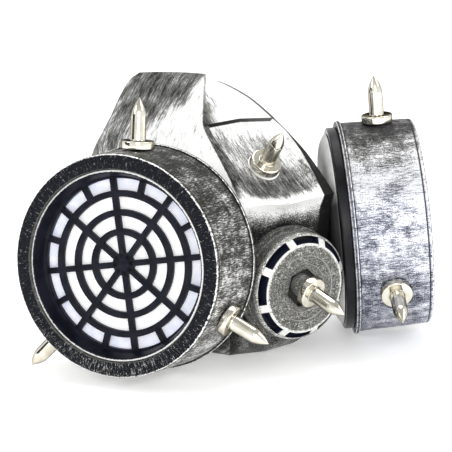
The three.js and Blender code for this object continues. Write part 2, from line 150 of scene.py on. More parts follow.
def settle(obj):
    # the evaluated mesh takes the place of the live modifiers
    graph = bpy.context.evaluated_depsgraph_get()
    mesh = bpy.data.meshes.new_from_object(obj.evaluated_get(graph))
    obj.modifiers.clear()
    obj.data = mesh
    return obj


def joinCut(obj, cutters, operation="DIFFERENCE"):
    for cutter in cutters:
        boolean = obj.modifiers.new("cut", "BOOLEAN")
        boolean.operation = operation
        boolean.object = cutter
        boolean.solver = "EXACT"
        settle(obj)
        bpy.data.objects.remove(cutter)
    return obj


def soften(obj, width, segments=2, angle=40):
    bevel = obj.modifiers.new("soft edges", "BEVEL")
    bevel.width = width * 0.001
    bevel.segments = segments
    bevel.limit_method = "ANGLE"
    bevel.angle_limit = math.radians(angle)
    return settle(obj)


def resharpen(obj, angle):
    obj.data.shade_smooth()
    obj.data.set_sharp_from_angle(angle=math.radians(angle))
    return obj


def storeOwn(obj, place):
    # keeps each point's place in the piece's own frame, in millimetres
    back = place.inverted()
    own = obj.data.attributes.new("own", "FLOAT_VECTOR", "POINT")
    for vertex, item in zip(obj.data.vertices, own.data):
        item.vector = back @ vertex.co
    return obj


def newTree(name, inputs):
    tree = bpy.data.node_groups.new(name, "GeometryNodeTree")
    tree.interface.new_socket(name="Geometry", in_out="INPUT", socket_type="NodeSocketGeometry")
    for label, kind, value in inputs:
        socket = tree.interface.new_socket(name=label, in_out="INPUT", socket_type=kind)
        if value is not None:
            socket.default_value = value
    tree.interface.new_socket(name="Geometry", in_out="OUTPUT", socket_type="NodeSocketGeometry")
    return tree


def runTree(obj, tree, values):
    modifier = obj.modifiers.new(tree.name, "NODES")
    modifier.node_group = tree
    for item in tree.interface.items_tree:
        if item.item_type == "SOCKET" and item.in_out == "INPUT" and item.name in values:
            modifier[item.identifier] = values[item.name]
    return settle(obj)


def put(tree, kind, inputs=None, **settings):
    node = tree.nodes.new(kind)
    for key, value in settings.items():
        setattr(node, key, value)
    for key, value in (inputs or {}).items():
        if isinstance(value, bpy.types.NodeSocket):
            tree.links.new(value, node.inputs[key])
        else:
            node.inputs[key].default_value = value
    return node


def sums(tree, operation, *values, clamp=False):
    node = put(tree, "ShaderNodeMath", dict(enumerate(values)), operation=operation)
    node.use_clamp = clamp
    return node.outputs[0]


def joinXyz(tree, x, y, z=0.0):
    return put(tree, "ShaderNodeCombineXYZ", {"X": x, "Y": y, "Z": z}).outputs[0]


# Shared shader groups. Places go in as millimetres.

def newShaderGroup(name, inputs, outputs):
    tree = bpy.data.node_groups.new(name, "ShaderNodeTree")
    for label, kind, value in inputs:
        socket = tree.interface.new_socket(name=label, in_out="INPUT", socket_type=kind)
        socket.default_value = value
    for label, kind in outputs:
        tree.interface.new_socket(name=label, in_out="OUTPUT", socket_type=kind)
    entry = tree.nodes.new("NodeGroupInput")
    leave = tree.nodes.new("NodeGroupOutput")
    return tree, entry.outputs, leave.inputs


def rise(tree, value, low, high, smooth=True):
    # 0 at low and 1 at high, or the other way round where low is the larger
    node = put(tree, "ShaderNodeMapRange", {"Value": value, "From Min": low, "From Max": high})
    node.interpolation_type = "SMOOTHSTEP" if smooth else "LINEAR"
    return node.outputs["Result"]


def ramp(tree, value, stops):
    # a line through (place, level) stops, straight between them
    low, high = stops[0][0], stops[-1][0]
    least, most = min(level for place, level in stops), max(level for place, level in stops)
    share = rise(tree, value, low, high, smooth=False)
    node = put(tree, "ShaderNodeValToRGB", {"Fac": share})
    elements = node.color_ramp.elements
    while len(elements) < len(stops):
        elements.new(0.5)
    for element, (place, level) in zip(elements, stops):
        element.position = (place - low) / (high - low)
        grey = (level - least) / (most - least)
        element.color = (grey, grey, grey, 1)
    grey = put(tree, "ShaderNodeRGBToBW", {"Color": node.outputs["Color"]}).outputs[0]
    return sums(tree, "MULTIPLY_ADD", grey, most - least, least)


def noiseOf(tree, vector, scale, detail=4.0, roughness=0.6):
    inputs = {"Vector": vector, "Scale": scale, "Detail": detail, "Roughness": roughness}
    return put(tree, "ShaderNodeTexNoise", inputs).outputs["Fac"]


def makeBrushGroup():
    # silver brushed over black: cover is how much silver there is, along and across are the strokes' pitches
    inputs = [("Place", "NodeSocketVector", (0, 0, 0)), ("Turn", "NodeSocketFloat", 0.0), ("Along", "NodeSocketFloat", 0.05),
              ("Across", "NodeSocketFloat", 0.5), ("Cover", "NodeSocketFloat", 0.5), ("Gain", "NodeSocketFloat", 3.0),
              ("Speckle", "NodeSocketFloat", 0.3), ("Blotch", "NodeSocketFloat", 0.4), ("Seed", "NodeSocketFloat", 0.0)]
    tree, given, out = newShaderGroup("dry brush", inputs, [("Silver", "NodeSocketFloat"), ("Strokes", "NodeSocketFloat")])
    turned = put(tree, "ShaderNodeVectorRotate", {"Vector": given["Place"], "Angle": given["Turn"]}, rotation_type="Z_AXIS")
    pitch = joinXyz(tree, given["Along"], given["Across"], given["Across"])
    stretched = put(tree, "ShaderNodeVectorMath", {0: turned.outputs[0], 1: pitch}, operation="MULTIPLY")
    shift = joinXyz(tree, given["Seed"], given["Seed"], given["Seed"])
    moved = put(tree, "ShaderNodeVectorMath", {0: stretched.outputs[0], 1: shift}, operation="ADD").outputs[0]
    coarse = noiseOf(tree, moved, 0.6, 2.0, 0.6)
    fine = noiseOf(tree, moved, 5.5, 4.0, 0.8)
    speck = noiseOf(tree, given["Place"], 1.9, 3.0, 0.7)
    strokes = sums(tree, "MULTIPLY_ADD", sums(tree, "SUBTRACT", coarse, fine), given["Blotch"], fine)
    mixed = sums(tree, "MULTIPLY_ADD", sums(tree, "SUBTRACT", speck, strokes), given["Speckle"], strokes)
    level = sums(tree, "MULTIPLY_ADD", sums(tree, "SUBTRACT", mixed, 0.5), given["Gain"], given["Cover"])
    tree.links.new(rise(tree, level, 0.05, 0.95), out["Silver"])
    tree.links.new(strokes, out["Strokes"])
    return tree


def makeEdgeGroup():
    # paint rubbed off near an edge: gap is the distance from the edge, ragged where the noise says
    inputs = [("Gap", "NodeSocketFloat", 10.0), ("Width", "NodeSocketFloat", 1.0), ("Place", "NodeSocketVector", (0, 0, 0)),
              ("Pitch", "NodeSocketFloat", 0.6), ("Ragged", "NodeSocketFloat", 0.8)]
    tree, given, out = newShaderGroup("edge wear", inputs, [("Wear", "NodeSocketFloat")])
    breaks = noiseOf(tree, given["Place"], given["Pitch"], 4.0, 0.7)
    swing = sums(tree, "MULTIPLY", sums(tree, "SUBTRACT", breaks, 0.5), given["Ragged"])
    share = sums(tree, "DIVIDE", given["Gap"], given["Width"])
    worn = sums(tree, "SUBTRACT", sums(tree, "ADD", 1.0, sums(tree, "MULTIPLY", swing, 4.0)), share)
    tree.links.new(rise(tree, worn, 0.0, 0.5), out["Wear"])
    return tree


def makeGrainGroup():
    inputs = [("Place", "NodeSocketVector", (0, 0, 0)), ("Pitch", "NodeSocketFloat", 1.0)]
    tree, given, out = newShaderGroup("grain", inputs, [("Grain", "NodeSocketFloat"), ("Cloud", "NodeSocketFloat")])
    tree.links.new(rise(tree, noiseOf(tree, given["Place"], given["Pitch"], 3.0, 0.75), 0.32, 0.68), out["Grain"])
    slow = sums(tree, "MULTIPLY", given["Pitch"], 0.09)
    tree.links.new(rise(tree, noiseOf(tree, given["Place"], slow, 3.0, 0.55), 0.36, 0.64), out["Cloud"])
    return tree


brushGroup = makeBrushGroup()
edgeGroup = makeEdgeGroup()
grainGroup = makeGrainGroup()


def grouped(tree, group, inputs):
    node = tree.nodes.new("ShaderNodeGroup")
    node.node_tree = group
    for key, value in inputs.items():
        if isinstance(value, bpy.types.NodeSocket):
            tree.links.new(value, node.inputs[key])
        else:
            node.inputs[key].default_value = value
    return node.outputs


def newMaterial(name, metallic=0.0, roughness=0.5, coat=0.0, specular=0.5):
    material = bpy.data.materials.new(name)
    material.use_nodes = True
    tree = material.node_tree
    shader = tree.nodes["Principled BSDF"]
    shader.inputs["Metallic"].default_value = metallic
    shader.inputs["Roughness"].default_value = roughness
    shader.inputs["Coat Weight"].default_value = coat
    shader.inputs["Specular IOR Level"].default_value = specular
    return material, tree, shader


def ownPlace(tree):
    return put(tree, "ShaderNodeAttribute", attribute_name="own").outputs["Vector"]


def objectPlace(tree):
    # Object coordinates, turned from metres into millimetres
    coords = tree.nodes.new("ShaderNodeTexCoord").outputs["Object"]
    return put(tree, "ShaderNodeVectorMath", {0: coords, "Scale": 1000.0}, operation="SCALE").outputs[0]


def maskOf(tree, name):
    return put(tree, "ShaderNodeAttribute", attribute_name=name).outputs["Fac"]


def blendColour(tree, factor, first, second):
    node = put(tree, "ShaderNodeMix", data_type="RGBA")
    for index, value in ((0, factor), (6, first), (7, second)):
        if isinstance(value, bpy.types.NodeSocket):
            tree.links.new(value, node.inputs[index])
        else:
            node.inputs[index].default_value = value if index == 0 else (*value, 1.0)
    return node.outputs[2]


def bumpOf(tree, height, distance, strength=1.0):
    inputs = {"Height": height, "Distance": distance * 0.001, "Strength": strength}
    return put(tree, "ShaderNodeBump", inputs).outputs["Normal"]


def aroundAxis(tree, place):
    # radius, height and the way round in millimetres, of a place in a turned piece's own frame
    parts = put(tree, "ShaderNodeSeparateXYZ", {"Vector": place}).outputs
    flat = joinXyz(tree, parts["X"], parts["Y"])
    radius = put(tree, "ShaderNodeVectorMath", {0: flat}, operation="LENGTH").outputs["Value"]
    return radius, parts["Z"], flat


# Camera, floor and light

cameraLook = {"azimuth": -34.604, "elevation": 12.567, "distance": 919.956, "yaw": 0.701, "pitch": 0.437, "lens": 161.8}


def makeCamera():
    azimuth, elevation = math.radians(cameraLook["azimuth"]), math.radians(cameraLook["elevation"])
    back = Vector((math.sin(azimuth) * math.cos(elevation), -math.cos(azimuth) * math.cos(elevation), math.sin(elevation)))
    right = Vector((math.cos(azimuth), math.sin(azimuth), 0))
    up = back.cross(right)
    ahead = -back
    yaw = Matrix.Rotation(math.radians(cameraLook["yaw"]), 3, up)
    ahead, right = yaw @ ahead, yaw @ right
    pitch = Matrix.Rotation(math.radians(cameraLook["pitch"]), 3, right)
    ahead, up = pitch @ ahead, pitch @ up
    data = bpy.data.cameras.new("camera")
    data.lens = cameraLook["lens"]
    data.sensor_width = 36
    data.clip_end = 20
    camera = bpy.data.objects.new("camera", data)
    bpy.context.scene.collection.objects.link(camera)
    turn = Matrix((right, up, -ahead)).transposed().to_4x4()
    camera.matrix_world = Matrix.Translation(inPlace @ (back * cameraLook["distance"])) @ turn
    bpy.context.scene.camera = camera


stageLook = {"floorSize": 6.0, "floorColour": (0.93, 0.93, 0.93), "floorGlow": 0.36, "horizon": 1.0, "zenith": 0.5, "dark": 0.04,
             "sunStrength": 1.3, "sunAngle": 45, "sunPlace": (0.2, 0.3, 1.0)}

lampTable = [
    # name, watts, size, place, aimed at
    ("key lamp", 5, 0.8, (0.9, -0.9, 1.1), (0, 0, 0.06)),
    ("front lamp", 8, 0.7, (-0.8, -1.3, 0.55), (0, 0, 0.05)),
    ("side lamp", 3, 0.6, (-1.2, 0.3, 0.7), (0, 0, 0.06)),
]
# dark parts of the studio, as degrees round from the front towards +X, with the softness of their sides
darkParts = [(-112, 22, 12), (128, 14, 8)]


def makeWorld():
    world = bpy.data.worlds.new("studio")
    world.use_nodes = True
    tree = world.node_tree
    background = tree.nodes["Background"]
    way = tree.nodes.new("ShaderNodeTexCoord").outputs["Generated"]
    parts = put(tree, "ShaderNodeSeparateXYZ", {"Vector": way}).outputs
    azimuth = sums(tree, "MULTIPLY", sums(tree, "ARCTAN2", parts["X"], sums(tree, "MULTIPLY", parts["Y"], -1.0)), 180 / math.pi)
    level = rise(tree, parts["Z"], 0.25, 0.95)
    light = sums(tree, "MULTIPLY_ADD", level, stageLook["zenith"] - stageLook["horizon"], stageLook["horizon"])
    for centre, half, soft in darkParts:
        away = sums(tree, "ABSOLUTE", sums(tree, "SUBTRACT", azimuth, centre))
        shade = sums(tree, "MAXIMUM", rise(tree, away, half - soft / 2, half + soft / 2), rise(tree, parts["Z"], 0.3, 0.5))
        light = sums(tree, "MULTIPLY", light, sums(tree, "MULTIPLY_ADD", shade, 1 - stageLook["dark"], stageLook["dark"]))
    background.inputs["Color"].default_value = (1, 1, 1, 1)
    tree.links.new(light, background.inputs["Strength"])
    bpy.context.scene.world = world


def makeStage():
    bm = bmesh.new()
    bmesh.ops.create_grid(bm, x_segments=8, y_segments=8, size=stageLook["floorSize"] / 2)
    floor = finishMesh(bm, "floor", Matrix.Identity(4), recalc=False)
    material, tree, shader = newMaterial("floor white", roughness=0.6, specular=0.3)
    shader.inputs["Base Color"].default_value = (*stageLook["floorColour"], 1)
    shader.inputs["Emission Color"].default_value = (1, 1, 1, 1)
    shader.inputs["Emission Strength"].default_value = stageLook["floorGlow"]
    floor.data.materials.append(material)
    makeWorld()
    bpy.context.scene.view_settings.view_transform = "Standard"
    for name, watts, size, place, target in lampTable:
        data = bpy.data.lights.new(name, "AREA")
        data.energy = watts
        data.size = size
        addLamp(name, data, place, target)
    data = bpy.data.lights.new("overhead light", "SUN")
    data.energy = stageLook["sunStrength"]
    data.angle = math.radians(stageLook["sunAngle"])
    addLamp("overhead light", data, stageLook["sunPlace"], (0, 0, 0))


def addLamp(name, data, place, target):
    lamp = bpy.data.objects.new(name, data)
    bpy.context.scene.collection.objects.link(lamp)
    lamp.location = place
    lamp.rotation_euler = (Vector(target) - Vector(place)).to_track_quat("-Z", "Y").to_euler()


makeCamera()
makeStage()
print("camera, floor and light made")


# Filter cans

canSizes = {"backRadius": 48.9, "frontRadius": 47.8, "depth": 35.5, "wall": 2.2, "lipRadius": 49.8, "lipWidth": 1.7,
            "rimInner": 41.3, "rimThickness": 2.4, "steps": 180}
cupSizes = {"lipRadius": 41.0, "lipTop": 34.3, "floorRadius": 36.8, "floor": 27.7, "wall": 1.8, "thickness": 2.6}
webSizes = {"hub": 5.0, "firstRing": 13.9, "ringStep": 8.2, "rings": 3, "ringWidth": 2.8, "spokeWidth": 2.6,
            "spokes": 8, "turn": 10}


def wallRadius(height):
    return canSizes["backRadius"] + (canSizes["frontRadius"] - canSizes["backRadius"]) * height / canSizes["depth"]


def makeHousing(side, name):
    s = canSizes
    inner = s["frontRadius"] - s["wall"]
    points = [(s["backRadius"] - s["wall"], 0, 0.3), (s["lipRadius"], 0, 0.5), (s["lipRadius"], s["lipWidth"], 0.45),
              (wallRadius(2.3), 2.3, 0.4), (s["frontRadius"], s["depth"], 1.7), (s["rimInner"], s["depth"], 0.4),
              (s["rimInner"], s["depth"] - s["rimThickness"], 0.3), (inner, s["depth"] - s["rimThickness"], 0.4)]
    place = inPlace @ canFrame(side)
    return storeOwn(turnedPiece(name, points, place, s["steps"], closed=True), place)


def makeWebTree():
    tree = newTree("grille web", [
        ("Hub Radius", "NodeSocketFloat", 5.0), ("First Ring", "NodeSocketFloat", 13.9), ("Ring Step", "NodeSocketFloat", 8.2),
        ("Rings", "NodeSocketInt", 3), ("Ring Width", "NodeSocketFloat", 2.8), ("Spoke Width", "NodeSocketFloat", 2.6),
        ("Spokes", "NodeSocketInt", 8), ("Outer Radius", "NodeSocketFloat", 37.5), ("Thickness", "NodeSocketFloat", 2.6),
        ("Turn", "NodeSocketFloat", 0.0), ("Height", "NodeSocketFloat", 0.0), ("Finish", "NodeSocketMaterial", None)])
    given = tree.nodes.new("NodeGroupInput").outputs
    leave = tree.nodes.new("NodeGroupOutput")
    index = tree.nodes.new("GeometryNodeInputIndex").outputs[0]

    # rings: a circle on each of the ring points, scaled to its radius, with a flat band for its section
    ringPoints = put(tree, "GeometryNodePoints", {"Count": given["Rings"]})
    radius = sums(tree, "MULTIPLY_ADD", index, given["Ring Step"], given["First Ring"])
    ringScale = put(tree, "ShaderNodeCombineXYZ", {"X": radius, "Y": radius, "Z": 1.0})
    circle = put(tree, "GeometryNodeCurvePrimitiveCircle", {"Resolution": 128, "Radius": 1.0})
    rings = put(tree, "GeometryNodeInstanceOnPoints", {"Points": ringPoints.outputs[0], "Instance": circle.outputs[0], "Scale": ringScale.outputs[0]})
    ringCurves = put(tree, "GeometryNodeRealizeInstances", {"Geometry": rings.outputs[0]})
    ringThickness = sums(tree, "SUBTRACT", given["Thickness"], 0.12)
    band = put(tree, "GeometryNodeCurvePrimitiveQuadrilateral", {"Width": given["Ring Width"], "Height": ringThickness})
    ringMesh = put(tree, "GeometryNodeCurveToMesh", {"Curve": ringCurves.outputs[0], "Profile Curve": band.outputs[0]})

    hub = put(tree, "GeometryNodeMeshCylinder", {"Vertices": 64, "Radius": given["Hub Radius"], "Depth": given["Thickness"]})

    # spokes: long ones from the hub out, and short ones between them in the last ring of gaps
    def spokeSet(startRadius, halfStep):
        length = sums(tree, "SUBTRACT", given["Outer Radius"], startRadius)
        centre = sums(tree, "MULTIPLY_ADD", length, 0.5, startRadius)
        size = put(tree, "ShaderNodeCombineXYZ", {"X": length, "Y": given["Spoke Width"], "Z": given["Thickness"]})
        bar = put(tree, "GeometryNodeMeshCube", {"Size": size.outputs[0]})
        along = put(tree, "ShaderNodeCombineXYZ", {"X": centre})
        barOut = put(tree, "GeometryNodeTransform", {"Geometry": bar.outputs[0], "Translation": along.outputs[0]})
        points = put(tree, "GeometryNodePoints", {"Count": given["Spokes"]})
        share = sums(tree, "DIVIDE", sums(tree, "ADD", index, halfStep), given["Spokes"])
        angle = sums(tree, "MULTIPLY", share, 2 * math.pi)
        spin = put(tree, "ShaderNodeCombineXYZ", {"Z": angle})
        return put(tree, "GeometryNodeInstanceOnPoints", {"Points": points.outputs[0], "Instance": barOut.outputs[0], "Rotation": spin.outputs[0]})

    longSpokes = spokeSet(sums(tree, "MULTIPLY", given["Hub Radius"], 0.5), 0.0)
    lastRing = sums(tree, "MULTIPLY_ADD", given["Ring Step"], sums(tree, "SUBTRACT", given["Rings"], 1), given["First Ring"])
    shortSpokes = spokeSet(lastRing, 0.5)
    web = tree.nodes.new("GeometryNodeJoinGeometry")
    for part in (shortSpokes, longSpokes, hub, ringMesh):
        tree.links.new(part.outputs[0], web.inputs[0])
    spinAll = put(tree, "ShaderNodeCombineXYZ", {"Z": given["Turn"]})
    lift = put(tree, "ShaderNodeCombineXYZ", {"Z": given["Height"]})
    placed = put(tree, "GeometryNodeTransform", {"Geometry": web.outputs[0], "Translation": lift.outputs[0], "Rotation": spinAll.outputs[0]})
    whole = tree.nodes.new("GeometryNodeJoinGeometry")
    tree.links.new(placed.outputs[0], whole.inputs[0])
    tree.links.new(given["Geometry"], whole.inputs[0])
    real = put(tree, "GeometryNodeRealizeInstances", {"Geometry": whole.outputs[0]})
    finish = put(tree, "GeometryNodeSetMaterial", {"Geometry": real.outputs[0], "Material": given["Finish"]})
    tree.links.new(finish.outputs[0], leave.inputs[0])
    return tree


def makeGrille(side, name, tree, material):
    c, w = cupSizes, webSizes
    back = c["floor"] - c["thickness"]
    points = [(c["floorRadius"], back, 0.3), (c["floorRadius"] + c["wall"], back, 0.4), (c["lipRadius"], 32.8, 0.3),
              (c["lipRadius"], c["lipTop"], 0.4), (c["lipRadius"] - 1.3, c["lipTop"], 0.4),
              (c["floorRadius"] + 1.2, c["floor"] + 1.2, 0.6), (c["floorRadius"], c["floor"], 0.4)]
    grille = turnedPiece(name, points, Matrix.Identity(4), 160, closed=True)
    runTree(grille, tree, {
        "Hub Radius": w["hub"], "First Ring": w["firstRing"], "Ring Step": w["ringStep"], "Rings": w["rings"],
        "Ring Width": w["ringWidth"], "Spoke Width": w["spokeWidth"], "Spokes": w["spokes"],
        "Outer Radius": c["floorRadius"] + 0.6, "Thickness": c["thickness"], "Turn": math.radians(w["turn"]),
        "Height": c["floor"] - c["thickness"] / 2, "Finish": material})
    place = inPlace @ canFrame(side)
    grille.data.transform(Matrix.Scale(0.001, 4))
    soften(grille, 0.35, 2, 60)
    grille.data.transform(place @ Matrix.Scale(1000, 4))
    return storeOwn(resharpen(grille, 40), place)


def makeFelt(side, name):
    radius, low, high = 38.6, 21.8, 24.8
    points = [(0, low), (radius, low, 0.8)]
    points += [(radius, high, 0.9)]
    points += [(radius * (1 - step / 24), high + 0.12 * math.sin(step * 1.7)) for step in range(1, 24)]
    points += [(0, high)]
    place = inPlace @ canFrame(side)
    return storeOwn(turnedPiece(name, points, place, 96), place)


def makeBase(side, name):
    points = [(0, -4.6), (47, -4.6, 0.9), (47, -0.3, 0.35), (46.4, -0.3, 0.1), (46.4, 6, 0.4), (44, 6, 0.4), (44, -2.2, 0.5), (0, -2.2)]
    place = inPlace @ canFrame(side)
    return storeOwn(turnedPiece(name, points, place, 160), place)


def makePlate(side, name):
    points = [(0, -8.7), (12, -8.7, 0.2), (12.4, -8.5, 0.2), (37.2, -8.7, 4), (41.6, -7.4, 3), (44.3, -5.5, 0.7), (44.3, -4.9, 0.15), (0, -4.9)]
    place = inPlace @ canFrame(side)
    return storeOwn(turnedPiece(name, points, place, 160), place)


def makeNeck(side, name):
    points = [(0, -12.2), (20, -12.2, 0.4), (20, -11.2, 0.3), (19.2, -10.6, 0.3), (20, -10, 0.3), (20, -9, 0.4), (0, -9)]
    place = inPlace @ canFrame(side)
    return storeOwn(turnedPiece(name, points, place, 96), place)


# Spikes

spikeSizes = {"flangeRadius": 7.1, "flangeHeight": 3.5, "shaftRadius": 3.3, "shaftHeight": 18.4, "straight": 0.56,
              "fullness": 1.75, "tipRound": 0.5, "steps": 64}
canSpikes = {
    "right": [(0.5, 0.49), (114.5, 0.49), (224, 0.49)],  # degrees from the top towards the nose, share of the depth
    "left": [(2.5, 0.53), (116, 0.5), (224, 0.49)],
}


def spikeBlank():
    s = spikeSizes
    tipStart = s["flangeHeight"] + s["shaftHeight"] * s["straight"]
    top = s["flangeHeight"] + s["shaftHeight"]
    points = [(0, 0), (s["flangeRadius"], 0, 0.35), (s["flangeRadius"], s["flangeHeight"], 0.7),
              (s["shaftRadius"] + 0.1, s["flangeHeight"], 0.45), (s["shaftRadius"], tipStart)]
    for step in range(1, 20):
        share = step / 20
        points.append((s["shaftRadius"] * (1 - share ** s["fullness"]), tipStart + (top - tipStart) * share))
    points += [(0, top - 0.05)]
    return turnedPiece("spike blank", points, Matrix.Scale(0.001, 4), s["steps"], sharpAngle=50)


def makeSpikeTree():
    tree = newTree("spike stand", [("Blank", "NodeSocketObject", None), ("Lean", "NodeSocketVector", (0, 0, 1)),
                                   ("Spin", "NodeSocketFloat", 0.0), ("Finish", "NodeSocketMaterial", None)])
    given = tree.nodes.new("NodeGroupInput").outputs
    leave = tree.nodes.new("NodeGroupOutput")
    blank = put(tree, "GeometryNodeObjectInfo", {"Object": given["Blank"]})
    spin = put(tree, "ShaderNodeCombineXYZ", {"Z": given["Spin"]})
    spun = put(tree, "GeometryNodeTransform", {"Geometry": blank.outputs["Geometry"], "Rotation": spin.outputs[0]})
    lean = put(tree, "FunctionNodeAlignRotationToVector", {"Vector": given["Lean"]}, axis="Z")
    stood = put(tree, "GeometryNodeInstanceOnPoints", {"Points": given["Geometry"], "Instance": spun.outputs[0], "Rotation": lean.outputs[0]})
    real = put(tree, "GeometryNodeRealizeInstances", {"Geometry": stood.outputs[0]})
    finish = put(tree, "GeometryNodeSetMaterial", {"Geometry": real.outputs[0], "Material": given["Finish"]})
    tree.links.new(finish.outputs[0], leave.inputs[0])
    return tree


def makeSpike(name, node, seat, lean, tree, blank, material):
    # seat and lean are in millimetres, in the row's axes
    bm = bmesh.new()
    bm.verts.new(inPlace @ (seat + lean * 0.3))
    mesh = bpy.data.meshes.new(name)
    bm.to_mesh(mesh)
    bm.free()
    spike = bpy.data.objects.new(name, mesh)
    bpy.context.scene.collection.objects.link(spike)
    runTree(spike, tree, {"Blank": blank, "Lean": tuple(lean), "Spin": 0.4, "Finish": material})
    resharpen(spike, 50)
    turn = Vector((0, 0, 1)).rotation_difference(lean).to_matrix().to_4x4()
    storeOwn(spike, inPlace @ Matrix.Translation(seat) @ turn)
    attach(spike, "root")
    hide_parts(node)
    return spike


# Chin valve

valveSizes = {"seat": 26.6, "drop": 12.8, "tilt": 2.4, "baseRadius": 25.3, "baseThickness": 2.6, "rimRadius": 24.1,
              "rimHeight": 11.3, "discRadius": 20, "discHeight": 15.1, "steps": [14.6, 10.8], "stepDepth": 0.7,
              "pocketRadius": 8.8, "pocketDepth": 2.4, "pocketTurn": 17, "hubRadius": 5, "hubStand": 2.2, "hubReach": 6.4,
              "spikeTurn": 13, "spikeDip": 18, "wall": 2, "slots": 8, "barWidth": 3.6, "slotTurn": 18.6}


def valveFrame():
    v = valveSizes
    return Matrix.Translation((0, -v["seat"], -v["drop"])) @ Matrix.Rotation(math.radians(90 + v["tilt"]), 4, "X")


def valveSpikeLean():
    turn, dip = math.radians(valveSizes["spikeTurn"]), math.radians(valveSizes["spikeDip"])
    return Vector((math.sin(turn) * math.cos(dip), -math.sin(dip), math.cos(turn) * math.cos(dip)))


def valveSlot(index, place):
    v = valveSizes
    centre = math.radians(v["slotTurn"]) + (index + 0.5) * 2 * math.pi / v["slots"]
    inner, outer = v["discRadius"] + 0.2, v["rimRadius"] - 1
    bm = bmesh.new()
    low, high = [], []
    for radius, way in ((outer, 1), (inner, -1)):
        half = math.pi / v["slots"] - math.asin(v["barWidth"] / 2 / radius)
        for step in range(13):
            angle = centre + way * half * (2 * step / 12 - 1)
            x, y = radius * math.cos(angle), radius * math.sin(angle)
            low.append(bm.verts.new((x, y, v["rimHeight"] - v["wall"] - 0.5)))
            high.append(bm.verts.new((x, y, v["discHeight"] + 3)))
    bm.faces.new(list(reversed(low)))
    bm.faces.new(high)
    for step in range(len(low)):
        after = (step + 1) % len(low)
        bm.faces.new((low[step], low[after], high[after], high[step]))
    return finishMesh(bm, "slot cutter", place)


def makeValveCap(name):
    v = valveSizes
    place = inPlace @ valveFrame()
    bottom, under = v["baseThickness"] + 0.6, v["rimHeight"] - v["wall"]
    outerStep, innerStep = v["steps"]
    face = v["discHeight"] - 2 * v["stepDepth"]
    points = [(v["rimRadius"] - v["wall"], bottom, 0.2), (v["rimRadius"], bottom, 0.3), (v["rimRadius"], 4.6, 0.2),
              (v["rimRadius"] - 0.35, 5, 0.2), (v["rimRadius"] - 0.35, 5.8, 0.2), (v["rimRadius"], 6.2, 0.2),
              (v["rimRadius"], v["rimHeight"], 0.8), (v["discRadius"], v["discHeight"], 0.7),
              (17.6, v["discHeight"] - 0.05, 0.15), (17.4, v["discHeight"] - 0.25, 0.1), (17.2, v["discHeight"] - 0.05, 0.15),
              (outerStep, v["discHeight"], 0.3), (outerStep - 0.2, v["discHeight"] - v["stepDepth"], 0.25),
              (innerStep, v["discHeight"] - v["stepDepth"], 0.3), (innerStep - 0.2, face, 0.25), (0, face),
              (0, under), (v["rimRadius"] - v["wall"], under, 0.3)]
    outline = softOutline(points[:-3], closed=False) + [Vector((0, face)), Vector((0, under)), Vector((v["rimRadius"] - v["wall"], under))]
    bm = turnedBm(outline, 144, True)
    axis = [f for f in bm.faces if f.calc_area() < 1e-9]
    bmesh.ops.delete(bm, geom=axis, context="FACES")
    cap = finishMesh(bm, name, place)
    joinCut(cap, [valveSlot(index, place) for index in range(v["slots"])])
    pocketLow = face - v["pocketDepth"]
    pocketTurn = Matrix.Rotation(math.radians(v["pocketTurn"]), 4, "Z")
    pocket = finishMesh(turnedBm([(0, pocketLow), (v["pocketRadius"], pocketLow), (v["pocketRadius"], face + 3), (0, face + 3)], 6, False),
                        "pocket cutter", place @ pocketTurn)
    joinCut(cap, [pocket])
    lean = Vector((0, 0, 1)).rotation_difference(valveSpikeLean()).to_matrix().to_4x4()
    hubTop = Matrix.Translation((0, 0, v["discHeight"] + v["hubStand"])) @ lean
    hubPoints = softOutline([(0, -v["hubReach"]), (v["hubRadius"], -v["hubReach"]), (v["hubRadius"], 0, 0.4), (0, 0)])
    hub = finishMesh(turnedBm(hubPoints, 72, False), "hub", place @ hubTop)
    joinCut(cap, [hub], "UNION")
    soften(cap, 0.28, 2, 50)
    return storeOwn(resharpen(cap, 35), place)


def makeValveBase(name):
    v = valveSizes
    place = inPlace @ valveFrame()
    top = 0.3 + v["baseThickness"]
    points = [(0, 0.3), (v["baseRadius"], 0.3, 0.4), (v["baseRadius"], top, 0.6), (v["rimRadius"] - 3, top, 0.2), (0, top)]
    return storeOwn(turnedPiece(name, points, place, 144), place)


def makeValveInsert(name):
    v = valveSizes
    place = inPlace @ valveFrame()
    bottom, radius = v["baseThickness"] + 0.6, v["rimRadius"] - v["wall"] - 0.3
    points = [(0, bottom), (radius, bottom, 0.2), (radius, bottom + 3.4, 0.5), (0, bottom + 3.4)]
    return storeOwn(turnedPiece(name, points, place, 96), place)


# Mask shell

